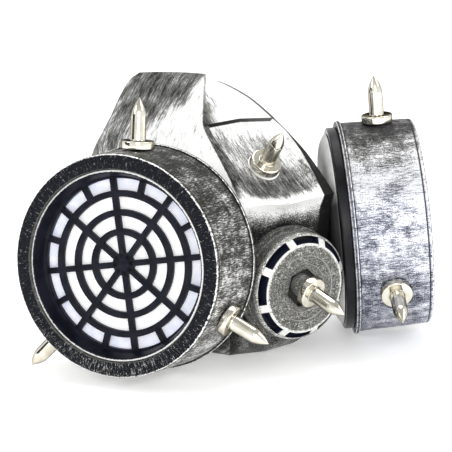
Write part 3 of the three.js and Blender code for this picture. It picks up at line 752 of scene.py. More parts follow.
shellSections = [
    # middle line (y, z), ridge (x, y, z), cheek (x, y, z), rim (x, y, z), share of the nose panel's recess
    ((34, 73.2), (2.5, 33.4, 72.9), (9, 51, 72.3), (15.6, 69.5, 70.5), 0),
    ((27.6, 71.3), (6, 28, 70.6), (13.5, 48, 69.5), (20.5, 70, 67.5), 0),
    ((19.5, 65.8), (11.7, 20, 64.8), (20.5, 42, 61.5), (28, 67.5, 60), 0),
    ((12.4, 59), (16.8, 12.8, 57.6), (26.5, 36.5, 54), (34, 65, 52.5), 0),
    ((8.6, 55.2), (19.3, 9.2, 53.8), (30.5, 33, 49), (39, 63.5, 46.5), 0),
    ((7.9, 54.5), (19.5, 8.5, 53.1), (30.9, 32.5, 48.4), (39.4, 63.4, 45.9), 0.35),
    ((0.5, 48.6), (21, 1.5, 48.6), (35, 27, 42.5), (44.5, 62, 39.5), 1),
    ((-9.8, 39.6), (22.7, -10, 41), (37.8, 20, 33), (49.5, 60.5, 30), 1),
    ((-20.5, 30.1), (23.7, -20, 33.1), (38.4, 14.5, 24), (53, 59, 20), 0.9),
    ((-30.2, 22.4), (24.8, -29.2, 24.4), (38.4, 10.5, 16), (55, 57.5, 11), 0.3),
    ((-27, 18.5), (25, -26.5, 17), (38.4, 9.5, 8), (56, 56.5, 3), 0),
    ((-26.3, 8), (25, -25, 5), (38.4, 9.5, -2), (56, 55.5, -6), 0),
    ((-25.5, -13), (25.5, -23, -13), (38.4, 10, -16), (55, 53.5, -18), 0),
    ((-24.5, -35), (24, -19, -33), (37.5, 11, -31), (51, 50, -30), 0),
    ((-19, -44.5), (20.5, -14, -43.5), (33, 14, -41), (43, 46, -40), 0),
    ((-8.5, -49.6), (16, -5.5, -49.6), (25, 17, -49), (32, 41, -46.5), 0),
    ((12, -49.6), (13, 11, -49.6), (19.5, 24, -49.6), (25, 37, -49.3), 0),
    ((35, -49.6), (9, 35, -49.6), (14, 35, -49.6), (19, 36.8, -49.6), 0),
]
shellSizes = {"wall": 2.6, "lobeSag": 3, "panelHalf": 18.8, "recess": 2.9, "step": 0.7, "rise": 1.0, "rowStep": 1.7,
              "panelCells": 12, "borderCells": 3, "cheekCells": 34, "grooveRow": 4, "panelTop": 5, "lowEdge": 9,
              "padRadius": 21.5, "padBack": -12.5, "padReach": 6, "valvePad": 23.6, "nosePad": 7.6}


def smoothLine(points, breaks, counts):
    # a smooth line through the points, straight-cornered at the breaks, with so many steps in each stretch
    line = []
    for index, count in enumerate(counts):
        start, end = points[index], points[index + 1]
        before = start if index in breaks or index == 0 else points[index - 1]
        after = end if index + 1 in breaks or index + 2 >= len(points) else points[index + 2]
        length = max((end - start).length, 1e-6)
        leadIn = (start - before).length
        leadOut = (after - end).length
        startPull = (end - start) if leadIn == 0 else (end - before) * (length / (length + leadIn))
        endPull = (end - start) if leadOut == 0 else (after - start) * (length / (length + leadOut))
        for step in range(count):
            t = step / count
            a, b = 2 * t ** 3 - 3 * t ** 2 + 1, t ** 3 - 2 * t ** 2 + t
            c, d = -2 * t ** 3 + 3 * t ** 2, t ** 3 - t ** 2
            line.append(start * a + startPull * b + end * c + endPull * d)
    line.append(points[-1])
    return line


def easeStep(value, low, high):
    t = min(max((value - low) / (high - low), 0), 1)
    return t * t * (3 - 2 * t)


def shellGrid():
    # fine rows of points from rim to rim, each with its section number and its place in the row
    s = shellSizes
    mids = [Vector((0, *row[0])) for row in shellSections]
    ridges, sides, rims = ([Vector(row[part]) for row in shellSections] for part in (1, 2, 3))
    counts = [max(1, round((ridges[i + 1] - ridges[i]).length / s["rowStep"])) for i in range(len(mids) - 1)]
    sharp = (s["grooveRow"], s["panelTop"], s["lowEdge"])
    lines = [smoothLine(points, breaks, counts) for points, breaks in ((mids, sharp), (ridges, sharp), (sides, ()), (rims, ()))]
    numbers = []
    for index, count in enumerate(counts):
        numbers += [index + step / count for step in range(count)]
    numbers.append(len(mids) - 1)
    rows = []
    for mid, ridge, side, rim in zip(*lines):
        border = min(s["panelHalf"], ridge.x * 0.9) / ridge.x
        inner = max(border - s["step"] / ridge.x, 0.1)
        shares = [inner * step / s["panelCells"] for step in range(s["panelCells"] + 1)]
        shares += [border + (1 - border) * step / s["borderCells"] for step in range(s["borderCells"])]
        half = [(mid.lerp(ridge, share), share * ridge.x, 0.0) for share in shares]
        pull = side * 2 - ridge * 0.5 - rim * 0.5
        for step in range(s["cheekCells"] + 1):
            t = step / s["cheekCells"]
            point = ridge * (1 - t) ** 2 + pull * 2 * t * (1 - t) + rim * t ** 2
            half.append((point, ridge.x, t))
        rows.append(half)
    return rows, numbers


def panelShare(number):
    low = min(int(number), len(shellSections) - 2)
    return shellSections[low][4] * (low + 1 - number) + shellSections[low + 1][4] * (number - low)


def makeShellSheet():
    s = shellSizes
    rows, numbers = shellGrid()
    grid = []
    for half in rows:
        left = []
        for point, across, t in half:
            sag = s["lobeSag"] * easeStep((point.y + 30) / 100, 0.35, 0.65) * easeStep((point.z + 49.6) / 124, 0.75, 0.97)
            left.append(Vector((point.x, point.y, point.z - sag)))
        right = [Vector((-point.x, point.y, point.z)) for point, across, t in half[1:]]
        grid.append(list(reversed(right)) + left)
    columns = len(grid[0])
    centre = columns // 2
    normals = []
    for rowIndex, row in enumerate(grid):
        line = []
        for column in range(columns):
            along = grid[min(rowIndex + 1, len(grid) - 1)][column] - grid[max(rowIndex - 1, 0)][column]
            across = row[min(column + 1, columns - 1)] - row[max(column - 1, 0)]
            line.append(along.cross(across).normalized())
        normals.append(line)
    bm = bmesh.new()
    layers = {name: bm.verts.layers.float.new(name) for name in ("rowNumber", "acrossShare", "foldGap", "cheekRun", "sideWay")}
    sheet = bm.verts.layers.float_vector.new("sheet")
    verts = []
    down = 0.0
    ridgeColumn = s["panelCells"] + s["borderCells"] + 1
    for rowIndex, row in enumerate(grid):
        if rowIndex:
            down += (row[centre + ridgeColumn] - grid[rowIndex - 1][centre + ridgeColumn]).length
        line = []
        for column, point in enumerate(row):
            fromCentre = abs(column - centre)
            way = 1 if column >= centre else -1
            past = min(max(fromCentre - s["panelCells"] - 1, 0) / s["borderCells"], 1)
            depth = panelShare(numbers[rowIndex]) * (s["recess"] if fromCentre <= s["panelCells"] else s["rise"] * (past - 1))
            vert = bm.verts.new(point - normals[rowIndex][column] * depth)
            ridge = row[centre + way * ridgeColumn]
            run = (point - ridge).length
            vert[layers["rowNumber"]] = numbers[rowIndex]
            vert[layers["acrossShare"]] = fromCentre / ridgeColumn
            vert[layers["foldGap"]] = run
            vert[layers["cheekRun"]] = run if fromCentre > ridgeColumn else 0.0
            vert[layers["sideWay"]] = way
            vert[sheet] = Vector((way * (abs(ridge.x) + (run if fromCentre > ridgeColumn else -run)), down, 0))
            line.append(vert)
        verts.append(line)
    for upper, lower in zip(verts, verts[1:]):
        for column in range(columns - 1):
            bm.faces.new((upper[column], lower[column], lower[column + 1], upper[column + 1]))
    return finishMesh(bm, "mask_shell_skin", inPlace, 24, recalc=False)


def strapCutter(side):
    bm = bmesh.new()
    bmesh.ops.create_cube(bm, size=1)
    bmesh.ops.scale(bm, vec=(36, 5, 22), verts=bm.verts)
    bmesh.ops.bevel(bm, geom=bm.edges[:], offset=0.6, segments=2, affect="EDGES")
    return finishMesh(bm, "strap cutter", inPlace @ Matrix.Translation((side * 56, 46.5, -6)))


def joinMeshes(main, others):
    bm = bmesh.new()
    bm.from_mesh(main.data)
    for other in others:
        bm.from_mesh(other.data)
        bpy.data.objects.remove(other)
    bm.to_mesh(main.data)
    bm.free()
    return main


def padDisc(radius, reach, frame, steps=120):
    # its lower half, which comes through the shell, is plain like the shell's inside
    bm = turnedBm(softOutline([(0, -reach), (radius, -reach), (radius, -reach / 2), (radius, 0, 0.5), (0, 0)]), steps, False)
    for face in bm.faces:
        face.material_index = int(face.calc_center_median().z < -reach / 2)
    return finishMesh(bm, "pad", inPlace @ frame)


noseSeat = {"seat": Vector((0, -10.24, 36.16)), "lean": Vector((0, -0.6456, 0.7637))}


def makeShell(name, paint, inside):
    s = shellSizes
    shell = makeShellSheet()
    shell.name = name
    shell.data.materials.append(paint)
    shell.data.materials.append(inside)
    solid = shell.modifiers.new("wall", "SOLIDIFY")
    solid.thickness = s["wall"] * 0.001
    solid.offset = -1
    solid.use_even_offset = True
    solid.thickness_clamp = 1.0
    solid.material_offset = 1
    solid.material_offset_rim = 0
    settle(shell)
    soften(shell, 0.42, 2, 19)
    joinCut(shell, [strapCutter(side) for side in (-1, 1)])
    pads = [padDisc(s["padRadius"], s["padReach"], canFrame(side) @ Matrix.Translation((0, 0, s["padBack"]))) for side in (-1, 1)]
    pads.append(padDisc(s["valvePad"], s["padReach"], valveFrame()))
    noseTurn = Vector((0, 0, 1)).rotation_difference(noseSeat["lean"]).to_matrix().to_4x4()
    pads.append(padDisc(s["nosePad"], 1.9, Matrix.Translation(noseSeat["seat"]) @ noseTurn, 64))
    joinMeshes(shell, pads)
    return resharpen(shell, 26)


# Finishes

def plainFinish(name, look):
    material, tree, shader = newMaterial(name, look["metallic"], look["roughness"], look.get("coat", 0), look.get("specular", 0.5))
    place = objectPlace(tree)
    grain = grouped(tree, grainGroup, {"Place": place, "Pitch": look["pitch"]})
    cloudy = blendColour(tree, grain["Cloud"], look["first"], look["second"])
    speckle = sums(tree, "MULTIPLY", rise(tree, grain["Grain"], 0.82, 1.0), look.get("fleck", 0.0))
    tree.links.new(blendColour(tree, speckle, cloudy, look.get("fleckColour", (0.5, 0.5, 0.5))), shader.inputs["Base Color"])
    rough = sums(tree, "MULTIPLY_ADD", grain["Cloud"], look.get("roughSwing", 0.08), look["roughness"])
    tree.links.new(rough, shader.inputs["Roughness"])
    tree.links.new(bumpOf(tree, grain["Grain"], look["bump"]), shader.inputs["Normal"])
    return material


def silverPaint(tree, shader, look, silver, strokes, extraTone=None):
    # black plastic where silver is 0 and bright metallic paint where it is 1
    mid = blendColour(tree, rise(tree, silver, 0.0, 0.5), look["dark"], look["mid"])
    tone = blendColour(tree, rise(tree, silver, 0.5, 1.0), mid, look["bright"])
    if extraTone:
        tone = extraTone(tone)
    tree.links.new(tone, shader.inputs["Base Color"])
    shader.inputs["Specular IOR Level"].default_value = look.get("specular", 0.12)
    tree.links.new(sums(tree, "MULTIPLY", silver, look["metallic"]), shader.inputs["Metallic"])
    tree.links.new(sums(tree, "MULTIPLY_ADD", strokes, 0.2, look["roughness"]), shader.inputs["Roughness"])
    tree.links.new(bumpOf(tree, sums(tree, "MULTIPLY_ADD", silver, 0.5, strokes), look["bump"]), shader.inputs["Normal"])


spikeLook = {"first": (0.86, 0.83, 0.73), "second": (0.72, 0.68, 0.57), "edge": (0.02, 0.02, 0.015), "roughness": 0.07, "smudge": 0.08}


def makeSpikeFinish():
    material, tree, shader = newMaterial("polished nickel", metallic=1.0, roughness=spikeLook["roughness"])
    place = ownPlace(tree)
    radius, height, flat = aroundAxis(tree, place)
    grain = grouped(tree, grainGroup, {"Place": place, "Pitch": 2.2})
    turning = noiseOf(tree, joinXyz(tree, 0.0, 0.0, sums(tree, "MULTIPLY", height, 6.0)), 1.0, 2.0)
    tone = blendColour(tree, grain["Cloud"], spikeLook["first"], spikeLook["second"])
    seatShade = rise(tree, height, 0.55, 0.0)
    collarGap = sums(tree, "ABSOLUTE", sums(tree, "SUBTRACT", height, 3.75))
    collarShade = sums(tree, "MULTIPLY", rise(tree, collarGap, 0.35, 0.0), rise(tree, radius, 4.6, 3.6))
    shade = sums(tree, "MAXIMUM", seatShade, sums(tree, "MULTIPLY", collarShade, 0.35))
    # painted reflection: a near-black edge tint darkens the reflections at the turned-away edges
    shader.inputs["Specular Tint"].default_value = (*spikeLook["edge"], 1)
    tree.links.new(blendColour(tree, shade, tone, (0.03, 0.03, 0.03)), shader.inputs["Base Color"])
    rough = sums(tree, "MULTIPLY_ADD", grain["Cloud"], spikeLook["smudge"], spikeLook["roughness"])
    tree.links.new(rough, shader.inputs["Roughness"])
    tree.links.new(bumpOf(tree, turning, 0.01, 0.4), shader.inputs["Normal"])
    return material


# cover lists how much silver a can's wall carries, by degrees from the top towards the nose and on round
canLooks = {
    "right": {"dark": (0.01, 0.01, 0.008), "mid": (0.13, 0.13, 0.119), "bright": (0.88, 0.88, 0.87), "rim": (0.004, 0.005, 0.009),
              "roughness": 0.36, "metallic": 0.6, "bump": 0.05, "gain": 5.5, "speckle": 0.1, "front": 0.0, "shadeTint": (0.13, 0.13, 0.122),
              "cover": [(-180, 0.45), (-90, 0.45), (-10, 0.38), (20, 0.27), (50, 0.28), (66, 0.38), (85, 0.44), (110, 0.42), (135, 0.5), (180, 0.42)]},
    "left": {"dark": (0.01, 0.0105, 0.012), "mid": (0.22, 0.22, 0.21), "bright": (0.84, 0.85, 0.88), "shadeTint": (0.23, 0.245, 0.31), "rim": (0.004, 0.005, 0.009),
             "roughness": 0.32, "metallic": 0.6, "bump": 0.05, "gain": 5.5, "speckle": 0.3, "front": 0.14,
             "cover": [(-180, 0.5), (-60, 0.5), (0, 0.14), (18, 0.14), (32, 0.42), (52, 0.66), (84, 0.6), (98, 0.5), (112, 0.42), (150, 0.36), (180, 0.4)]},
}


def makeCanFinish(name, side, look):
    material, tree, shader = newMaterial(name)
    place = ownPlace(tree)
    parts = put(tree, "ShaderNodeSeparateXYZ", {"Vector": place}).outputs
    radius, height, flat = aroundAxis(tree, place)
    angle = sums(tree, "ARCTAN2", sums(tree, "MULTIPLY", parts["X"], -side), parts["Y"])
    degrees = sums(tree, "MULTIPLY", angle, 180 / math.pi)
    around = sums(tree, "MULTIPLY", angle, 48.0)
    wallPlace = joinXyz(tree, height, around)
    patches = grouped(tree, grainGroup, {"Place": place, "Pitch": 1.4})
    cloud = sums(tree, "MULTIPLY_ADD", patches["Cloud"], 0.24, -0.12)
    cover = sums(tree, "ADD", ramp(tree, degrees, look["cover"]), cloud)
    cover = sums(tree, "ADD", cover, sums(tree, "MULTIPLY", rise(tree, height, 22.0, 33.0), look["front"]))
    axial = grouped(tree, brushGroup, {"Place": wallPlace, "Along": 0.05, "Across": 0.3, "Cover": cover,
                                       "Gain": look["gain"], "Speckle": look["speckle"], "Blotch": 0.3})
    hoop = grouped(tree, brushGroup, {"Place": wallPlace, "Turn": math.pi / 2, "Along": 0.06, "Across": 0.6, "Cover": cover,
                                      "Gain": look["gain"], "Speckle": look["speckle"], "Blotch": 0.25, "Seed": 5.0})
    wall = sums(tree, "MULTIPLY_ADD", axial["Silver"], 0.78, sums(tree, "MULTIPLY", hoop["Silver"], 0.22))
    # rim face: black with fine flecks
    onRim = rise(tree, height, 34.6, 35.2)
    rimCover = sums(tree, "MULTIPLY_ADD", rise(tree, sums(tree, "ABSOLUTE", degrees), 95, 170), 0.2, -0.03)
    flecks = grouped(tree, brushGroup, {"Place": joinXyz(tree, radius, around), "Along": 0.1, "Across": 0.45, "Cover": rimCover,
                                        "Gain": 5.0, "Speckle": 0.1, "Blotch": 0.05, "Seed": 7.0})
    rimSilver = sums(tree, "MULTIPLY", flecks["Silver"], 0.9)
    silver = sums(tree, "MULTIPLY_ADD", sums(tree, "SUBTRACT", rimSilver, wall), onRim, wall)
    # rubbed edges: front corner, back lip and the rim's inner edge
    wearPlace = joinXyz(tree, around, height, radius)
    outerGap = sums(tree, "ADD", sums(tree, "ABSOLUTE", sums(tree, "SUBTRACT", height, 34.9)), sums(tree, "MAXIMUM", sums(tree, "SUBTRACT", 47.4, radius), 0.0))
    frontWear = grouped(tree, edgeGroup, {"Gap": outerGap, "Width": 0.4, "Place": wearPlace, "Pitch": 1.1, "Ragged": 1.5})["Wear"]
    onLip = sums(tree, "MULTIPLY", rise(tree, height, 2.3, 2.0), rise(tree, radius, 48.9, 49.1))
    lipCorner = sums(tree, "MINIMUM", sums(tree, "ABSOLUTE", sums(tree, "SUBTRACT", height, 0.2)), sums(tree, "ABSOLUTE", sums(tree, "SUBTRACT", height, 1.6)))
    lipGap = sums(tree, "ADD", lipCorner, sums(tree, "MAXIMUM", sums(tree, "SUBTRACT", 49.5, radius), 0.0))
    silver = sums(tree, "MULTIPLY", silver, sums(tree, "MULTIPLY_ADD", onLip, -0.55, 1.0))
    backWear = grouped(tree, edgeGroup, {"Gap": sums(tree, "ABSOLUTE", lipGap), "Width": 0.22, "Place": wearPlace, "Pitch": 1.0, "Ragged": 1.2})["Wear"]
    innerGap = sums(tree, "SUBTRACT", radius, 41.3)
    innerWear = grouped(tree, edgeGroup, {"Gap": sums(tree, "ABSOLUTE", innerGap), "Width": 0.3, "Place": wearPlace, "Pitch": 1.8, "Ragged": 1.2})["Wear"]
    innerWear = sums(tree, "MULTIPLY", innerWear, sums(tree, "MULTIPLY", rise(tree, height, 32.8, 33.4), 0.5))
    wear = sums(tree, "MAXIMUM", sums(tree, "MAXIMUM", frontWear, backWear), innerWear)
    silver = sums(tree, "MAXIMUM", silver, wear)
    # a dark seam between the lip and the wall
    seam = rise(tree, sums(tree, "ABSOLUTE", sums(tree, "SUBTRACT", height, 2.1)), 0.5, 0.1)
    seam = sums(tree, "MULTIPLY", seam, rise(tree, radius, 49.5, 49.1))
    # and a dark line behind the worn front corner
    frontSeam = rise(tree, sums(tree, "ABSOLUTE", sums(tree, "SUBTRACT", height, 33.5)), 0.55, 0.15)
    seam = sums(tree, "MAXIMUM", seam, sums(tree, "MULTIPLY", frontSeam, rise(tree, radius, 46.8, 47.2)))
    silver = sums(tree, "MULTIPLY", silver, sums(tree, "SUBTRACT", 1.0, sums(tree, "MULTIPLY", seam, 0.85)))
    # painted shade: the mid tone turns to the shade tint past 40 to 70 degrees, bluish on the left can
    shadeTinted = dict(look, mid=blendColour(tree, rise(tree, degrees, 40, 70), look["mid"], look["shadeTint"]))
    silverPaint(tree, shader, shadeTinted, silver, axial["Strokes"],
                lambda tone: blendColour(tree, sums(tree, "MULTIPLY", onRim, rise(tree, silver, 0.6, 0.2)), tone, look["rim"]))
    return material


shellLook = {"dark": (0.008, 0.008, 0.008), "mid": (0.18, 0.18, 0.172), "bright": (0.93, 0.93, 0.92), "roughness": 0.36, "metallic": 0.35,
             "bump": 0.05, "speckle": 0.25}


def makeShellFinish():
    look = shellLook
    material, tree, shader = newMaterial("antique silver shell")
    sheet = put(tree, "ShaderNodeAttribute", attribute_name="sheet").outputs["Vector"]
    number, share, fold, run, way = (maskOf(tree, name) for name in ("rowNumber", "acrossShare", "foldGap", "cheekRun", "sideWay"))
    near = rise(tree, way, 0.0, -0.5)
    onCheek = rise(tree, share, 1.0, 1.03)
    signedShare = sums(tree, "MULTIPLY", share, way)
    mirrored = joinXyz(tree, sums(tree, "MULTIPLY", fold, 1.0), put(tree, "ShaderNodeSeparateXYZ", {"Vector": sheet}).outputs["Y"])
    patches = grouped(tree, grainGroup, {"Place": objectPlace(tree), "Pitch": 1.2})

    # near cheek: bright beside the fold, and dark past a line that runs down and outwards
    darkStart = ramp(tree, number, [(0, 1.0), (1, 5.0), (2, 10.0), (2.5, 17.0), (3, 24.0), (4, 33.0), (6, 42.0)])
    pastLine = sums(tree, "SUBTRACT", run, darkStart)
    outerCover = ramp(tree, number, [(0, 0.36), (2, 0.4), (3, 0.52), (6, 0.56)])
    runCover = sums(tree, "MULTIPLY_ADD", sums(tree, "SUBTRACT", outerCover, 0.97), rise(tree, pastLine, -7.0, 8.0), 0.97)
    # far cheek: painted shade, dark past a bright edge at the fold
    farShadeCover = ramp(tree, run, [(0, 0.6), (3, 0.2), (14, 0.14), (60, 0.4)])
    nearOrOut = sums(tree, "MAXIMUM", near, rise(tree, run, 10.0, 22.0))
    cheekCover = sums(tree, "MULTIPLY_ADD", sums(tree, "SUBTRACT", runCover, farShadeCover), nearOrOut, farShadeCover)
    chinCheek = ramp(tree, run, [(0, 0.5), (10, 0.25), (60, 0.3)])
    cheekCover = sums(tree, "MULTIPLY_ADD", sums(tree, "SUBTRACT", chinCheek, cheekCover), rise(tree, number, 9.0, 10.5), cheekCover)

    # upper facet: nearly white, with a darker patch by the groove's end
    patch = sums(tree, "MULTIPLY", rise(tree, signedShare, -0.25, -0.85), rise(tree, number, 1.0, 3.7))
    upperCover = sums(tree, "MULTIPLY_ADD", patch, -0.58, 0.9)
    # nose panel: grey strokes, a painted shade band just inside the left border, and bright along the right one
    panelCover = ramp(tree, signedShare, [(-1, 0.5), (-0.82, 0.4), (-0.7, 0.58), (-0.5, 0.6), (0.0, 0.58), (0.4, 0.6), (0.65, 0.66), (0.78, 0.8), (1, 0.85)])
    panelCover = sums(tree, "ADD", panelCover, ramp(tree, number, [(5, 0.2), (6.0, 0.06), (7.2, 0.0), (7.9, -0.2), (8.45, -0.18), (8.75, 0.3), (9, 0.55)]))
    # painted shade: the sloped strip just past the near border is darkened
    border = rise(tree, share, 0.81, 0.85)
    borderShadeCover = ramp(tree, number, [(4.4, 0.7), (5.0, 0.4), (6.0, 0.3), (8.0, 0.28), (8.8, 0.75)])
    panelCover = sums(tree, "MULTIPLY_ADD", sums(tree, "SUBTRACT", borderShadeCover, panelCover), sums(tree, "MULTIPLY", border, near), panelCover)
    # chin face: bright below the edge and black by the valve
    chinCover = ramp(tree, number, [(9, 1.05), (9.3, 0.97), (9.7, 0.85), (10, 0.76), (10.25, 0.5), (10.6, 0.15), (12, 0.1), (14, 0.35), (17, 0.45)])
    chinSide = sums(tree, "MULTIPLY", rise(tree, share, 0.6, 1.0), rise(tree, number, 9.2, 10.0))
    chinCover = sums(tree, "MULTIPLY_ADD", chinSide, -0.3, chinCover)
    # painted shade: the strip past the panel's far border is darkened
    stripStart = ramp(tree, number, [(5, 0.93), (6, 0.88), (7.5, 0.84), (9, 0.8), (17, 0.8)])
    farShadeStrip = sums(tree, "MULTIPLY", rise(tree, sums(tree, "SUBTRACT", signedShare, stripStart), 0.0, 0.04), rise(tree, number, 5.0, 6.0))

    face = sums(tree, "MULTIPLY_ADD", sums(tree, "SUBTRACT", panelCover, upperCover), rise(tree, number, 4.2, 4.6), upperCover)
    face = sums(tree, "MULTIPLY_ADD", sums(tree, "SUBTRACT", chinCover, face), rise(tree, number, 8.98, 9.02), face)
    cover = sums(tree, "MULTIPLY_ADD", sums(tree, "SUBTRACT", cheekCover, face), onCheek, face)
    cover = sums(tree, "ADD", cover, sums(tree, "MULTIPLY_ADD", patches["Cloud"], 0.16, -0.08))
    cover = sums(tree, "MULTIPLY_ADD", sums(tree, "SUBTRACT", ramp(tree, number, [(5, 0.25), (7, 0.12), (9, -0.1), (17, 0.0)]), cover), farShadeStrip, cover)
    gain = ramp(tree, number, [(0, 2.2), (3.9, 2.2), (4.4, 2.7), (9, 2.7), (9.4, 3.4), (17, 3.4)])

    lean = grouped(tree, brushGroup, {"Place": mirrored, "Turn": math.radians(-63), "Along": 0.03, "Across": 0.3, "Cover": cover,
                                      "Gain": 3.0, "Speckle": 0.1, "Blotch": 0.35, "Seed": 3.0})
    slope = grouped(tree, brushGroup, {"Place": sheet, "Turn": math.radians(-86), "Along": 0.04, "Across": 0.42, "Cover": cover,
                                       "Gain": gain, "Speckle": look["speckle"], "Blotch": 0.2, "Seed": 11.0})
    mottle = grouped(tree, brushGroup, {"Place": sheet, "Along": 0.2, "Across": 0.26, "Cover": cover, "Gain": gain,
                                        "Speckle": 0.6, "Blotch": 0.3, "Seed": 17.0})
    faced = sums(tree, "MULTIPLY_ADD", sums(tree, "SUBTRACT", mottle["Silver"], slope["Silver"]), rise(tree, number, 9.0, 9.4), slope["Silver"])
    silver = sums(tree, "MULTIPLY_ADD", sums(tree, "SUBTRACT", lean["Silver"], faced), onCheek, faced)
    # painted shadow in the groove above the panel, and the line along the far fold
    grooveShade = sums(tree, "MULTIPLY", rise(tree, number, 3.96, 4.02), rise(tree, number, 5.04, 4.98))
    grooveShade = sums(tree, "MULTIPLY", grooveShade, ramp(tree, signedShare, [(-1, 1.0), (-0.2, 0.92), (0.3, 0.8), (1, 0.7)]))
    grooveShade = sums(tree, "MULTIPLY", grooveShade, rise(tree, share, 1.0, 0.97))
    farLine = sums(tree, "MULTIPLY", rise(tree, fold, 2.2, 0.6), rise(tree, number, 6.2, 5.2))
    farLine = sums(tree, "MULTIPLY", farLine, rise(tree, way, 0.0, 0.5))
    foldLine = sums(tree, "MULTIPLY", rise(tree, fold, 1.3, 0.2), sums(tree, "MULTIPLY", near, rise(tree, number, 4.0, 3.6)))
    foldLine = sums(tree, "MULTIPLY", foldLine, sums(tree, "MULTIPLY_ADD", patches["Grain"], 0.3, 0.15))
    shade = sums(tree, "MAXIMUM", sums(tree, "MAXIMUM", grooveShade, foldLine), sums(tree, "MULTIPLY", farLine, 0.8))
    silver = sums(tree, "MULTIPLY", silver, sums(tree, "SUBTRACT", 1.0, shade))
    silverPaint(tree, shader, look, silver, slope["Strokes"])
    return material


valveLook = {"dark": (0.04, 0.04, 0.037), "mid": (0.2, 0.2, 0.185), "bright": (0.85, 0.85, 0.82), "roughness": 0.42, "metallic": 0.7,
             "bump": 0.05, "gain": 3.0, "speckle": 0.6, "slot": (0.012, 0.016, 0.036)}


def makeValveFinish():
    look, v = valveLook, valveSizes
    material, tree, shader = newMaterial("valve silver")
    place = ownPlace(tree)
    radius, height, flat = aroundAxis(tree, place)
    cover = ramp(tree, radius, [(0, 0.4), (10, 0.4), (18.8, 0.4), (19.3, 0.7), (20.3, 0.95), (22.4, 0.95), (23.0, 0.66), (24.3, 0.5), (26, 0.5)])
    lowWall = rise(tree, height, 10.6, 9.6)
    cover = sums(tree, "MULTIPLY_ADD", lowWall, -0.2, cover)
    brush = grouped(tree, brushGroup, {"Place": place, "Along": 0.5, "Across": 0.9, "Cover": cover, "Gain": look["gain"],
                                       "Speckle": look["speckle"]})
    lines = rise(tree, sums(tree, "ABSOLUTE", sums(tree, "SUBTRACT", radius, v["steps"][0])), 0.35, 0.05)
    lines = sums(tree, "MAXIMUM", lines, rise(tree, sums(tree, "ABSOLUTE", sums(tree, "SUBTRACT", radius, v["steps"][1])), 0.35, 0.05))
    lines = sums(tree, "MULTIPLY", lines, 0.75)
    silver = sums(tree, "MAXIMUM", brush["Silver"], lines)
    # painted shade: the hex pocket's inside carries no silver
    pocket = sums(tree, "MULTIPLY", rise(tree, height, 13.4, 12.6), rise(tree, radius, 9.2, 8.8))
    silver = sums(tree, "MULTIPLY", silver, sums(tree, "SUBTRACT", 1.0, pocket))
    # painted shade: the walls of the slots are painted navy black
    slope = sums(tree, "MULTIPLY_ADD", sums(tree, "SUBTRACT", radius, 20.0), -0.93, 15.1)
    slotWallShade = rise(tree, sums(tree, "SUBTRACT", slope, height), 0.4, 0.9)
    slotWallShade = sums(tree, "MULTIPLY", slotWallShade, sums(tree, "MULTIPLY", rise(tree, radius, 19.5, 19.8), rise(tree, radius, 23.5, 23.2)))
    silver = sums(tree, "MULTIPLY", silver, sums(tree, "SUBTRACT", 1.0, slotWallShade))
    silverPaint(tree, shader, look, silver, brush["Strokes"], lambda tone: blendColour(tree, slotWallShade, tone, look["slot"]))
    return material


feltLook = {"white": (0.97, 0.97, 0.98), "shade": (0.74, 0.78, 0.93), "roughness": 0.95, "paintedGlow": 0.25}


def makeFeltFinish():
    material, tree, shader = newMaterial("filter felt", 0.0, feltLook["roughness"], specular=0.1)
    place = ownPlace(tree)
    radius, height, flat = aroundAxis(tree, place)
    fibres = noiseOf(tree, place, 2.6, 5.0, 0.75)
    wisps = noiseOf(tree, place, 0.35, 4.0, 0.6)
    # painted shade: a bluish tint laid in wisps over the outer ring
    shade = sums(tree, "MULTIPLY", rise(tree, radius, 28, 36), rise(tree, wisps, 0.3, 0.6))
    tone = blendColour(tree, shade, feltLook["white"], feltLook["shade"])
    tree.links.new(tone, shader.inputs["Base Color"])
    # painted light: the felt glows a little on its own to stay white
    tree.links.new(tone, shader.inputs["Emission Color"])
    shader.inputs["Emission Strength"].default_value = feltLook["paintedGlow"]
    tree.links.new(bumpOf(tree, fibres, 0.35), shader.inputs["Normal"])
    return material


def makeGrilleFinish():
    material, tree, shader = newMaterial("grille black", 0.0, 0.34, specular=0.1)
    place = ownPlace(tree)
    parts = put(tree, "ShaderNodeSeparateXYZ", {"Vector": place}).outputs
    radius, height, flat = aroundAxis(tree, place)
    around = sums(tree, "MULTIPLY", sums(tree, "ARCTAN2", parts["X"], parts["Y"]), 40.0)
    grain = grouped(tree, grainGroup, {"Place": place, "Pitch": 1.6})
    tone = blendColour(tree, grain["Cloud"], (0.006, 0.0065, 0.011), (0.012, 0.013, 0.021))
    lipGap = sums(tree, "ADD", sums(tree, "ABSOLUTE", sums(tree, "SUBTRACT", height, 34.3)), sums(tree, "MAXIMUM", sums(tree, "SUBTRACT", 40.4, radius), 0.0))
    worn = grouped(tree, edgeGroup, {"Gap": lipGap, "Width": 0.3, "Place": joinXyz(tree, around, height, radius), "Pitch": 1.6, "Ragged": 1.1})["Wear"]
    tree.links.new(blendColour(tree, worn, tone, (0.75, 0.75, 0.74)), shader.inputs["Base Color"])
    tree.links.new(sums(tree, "MULTIPLY", worn, 0.7), shader.inputs["Metallic"])
    tree.links.new(sums(tree, "MULTIPLY_ADD", grain["Cloud"], 0.1, 0.3), shader.inputs["Roughness"])
    tree.links.new(bumpOf(tree, grain["Grain"], 0.02), shader.inputs["Normal"])
    return material


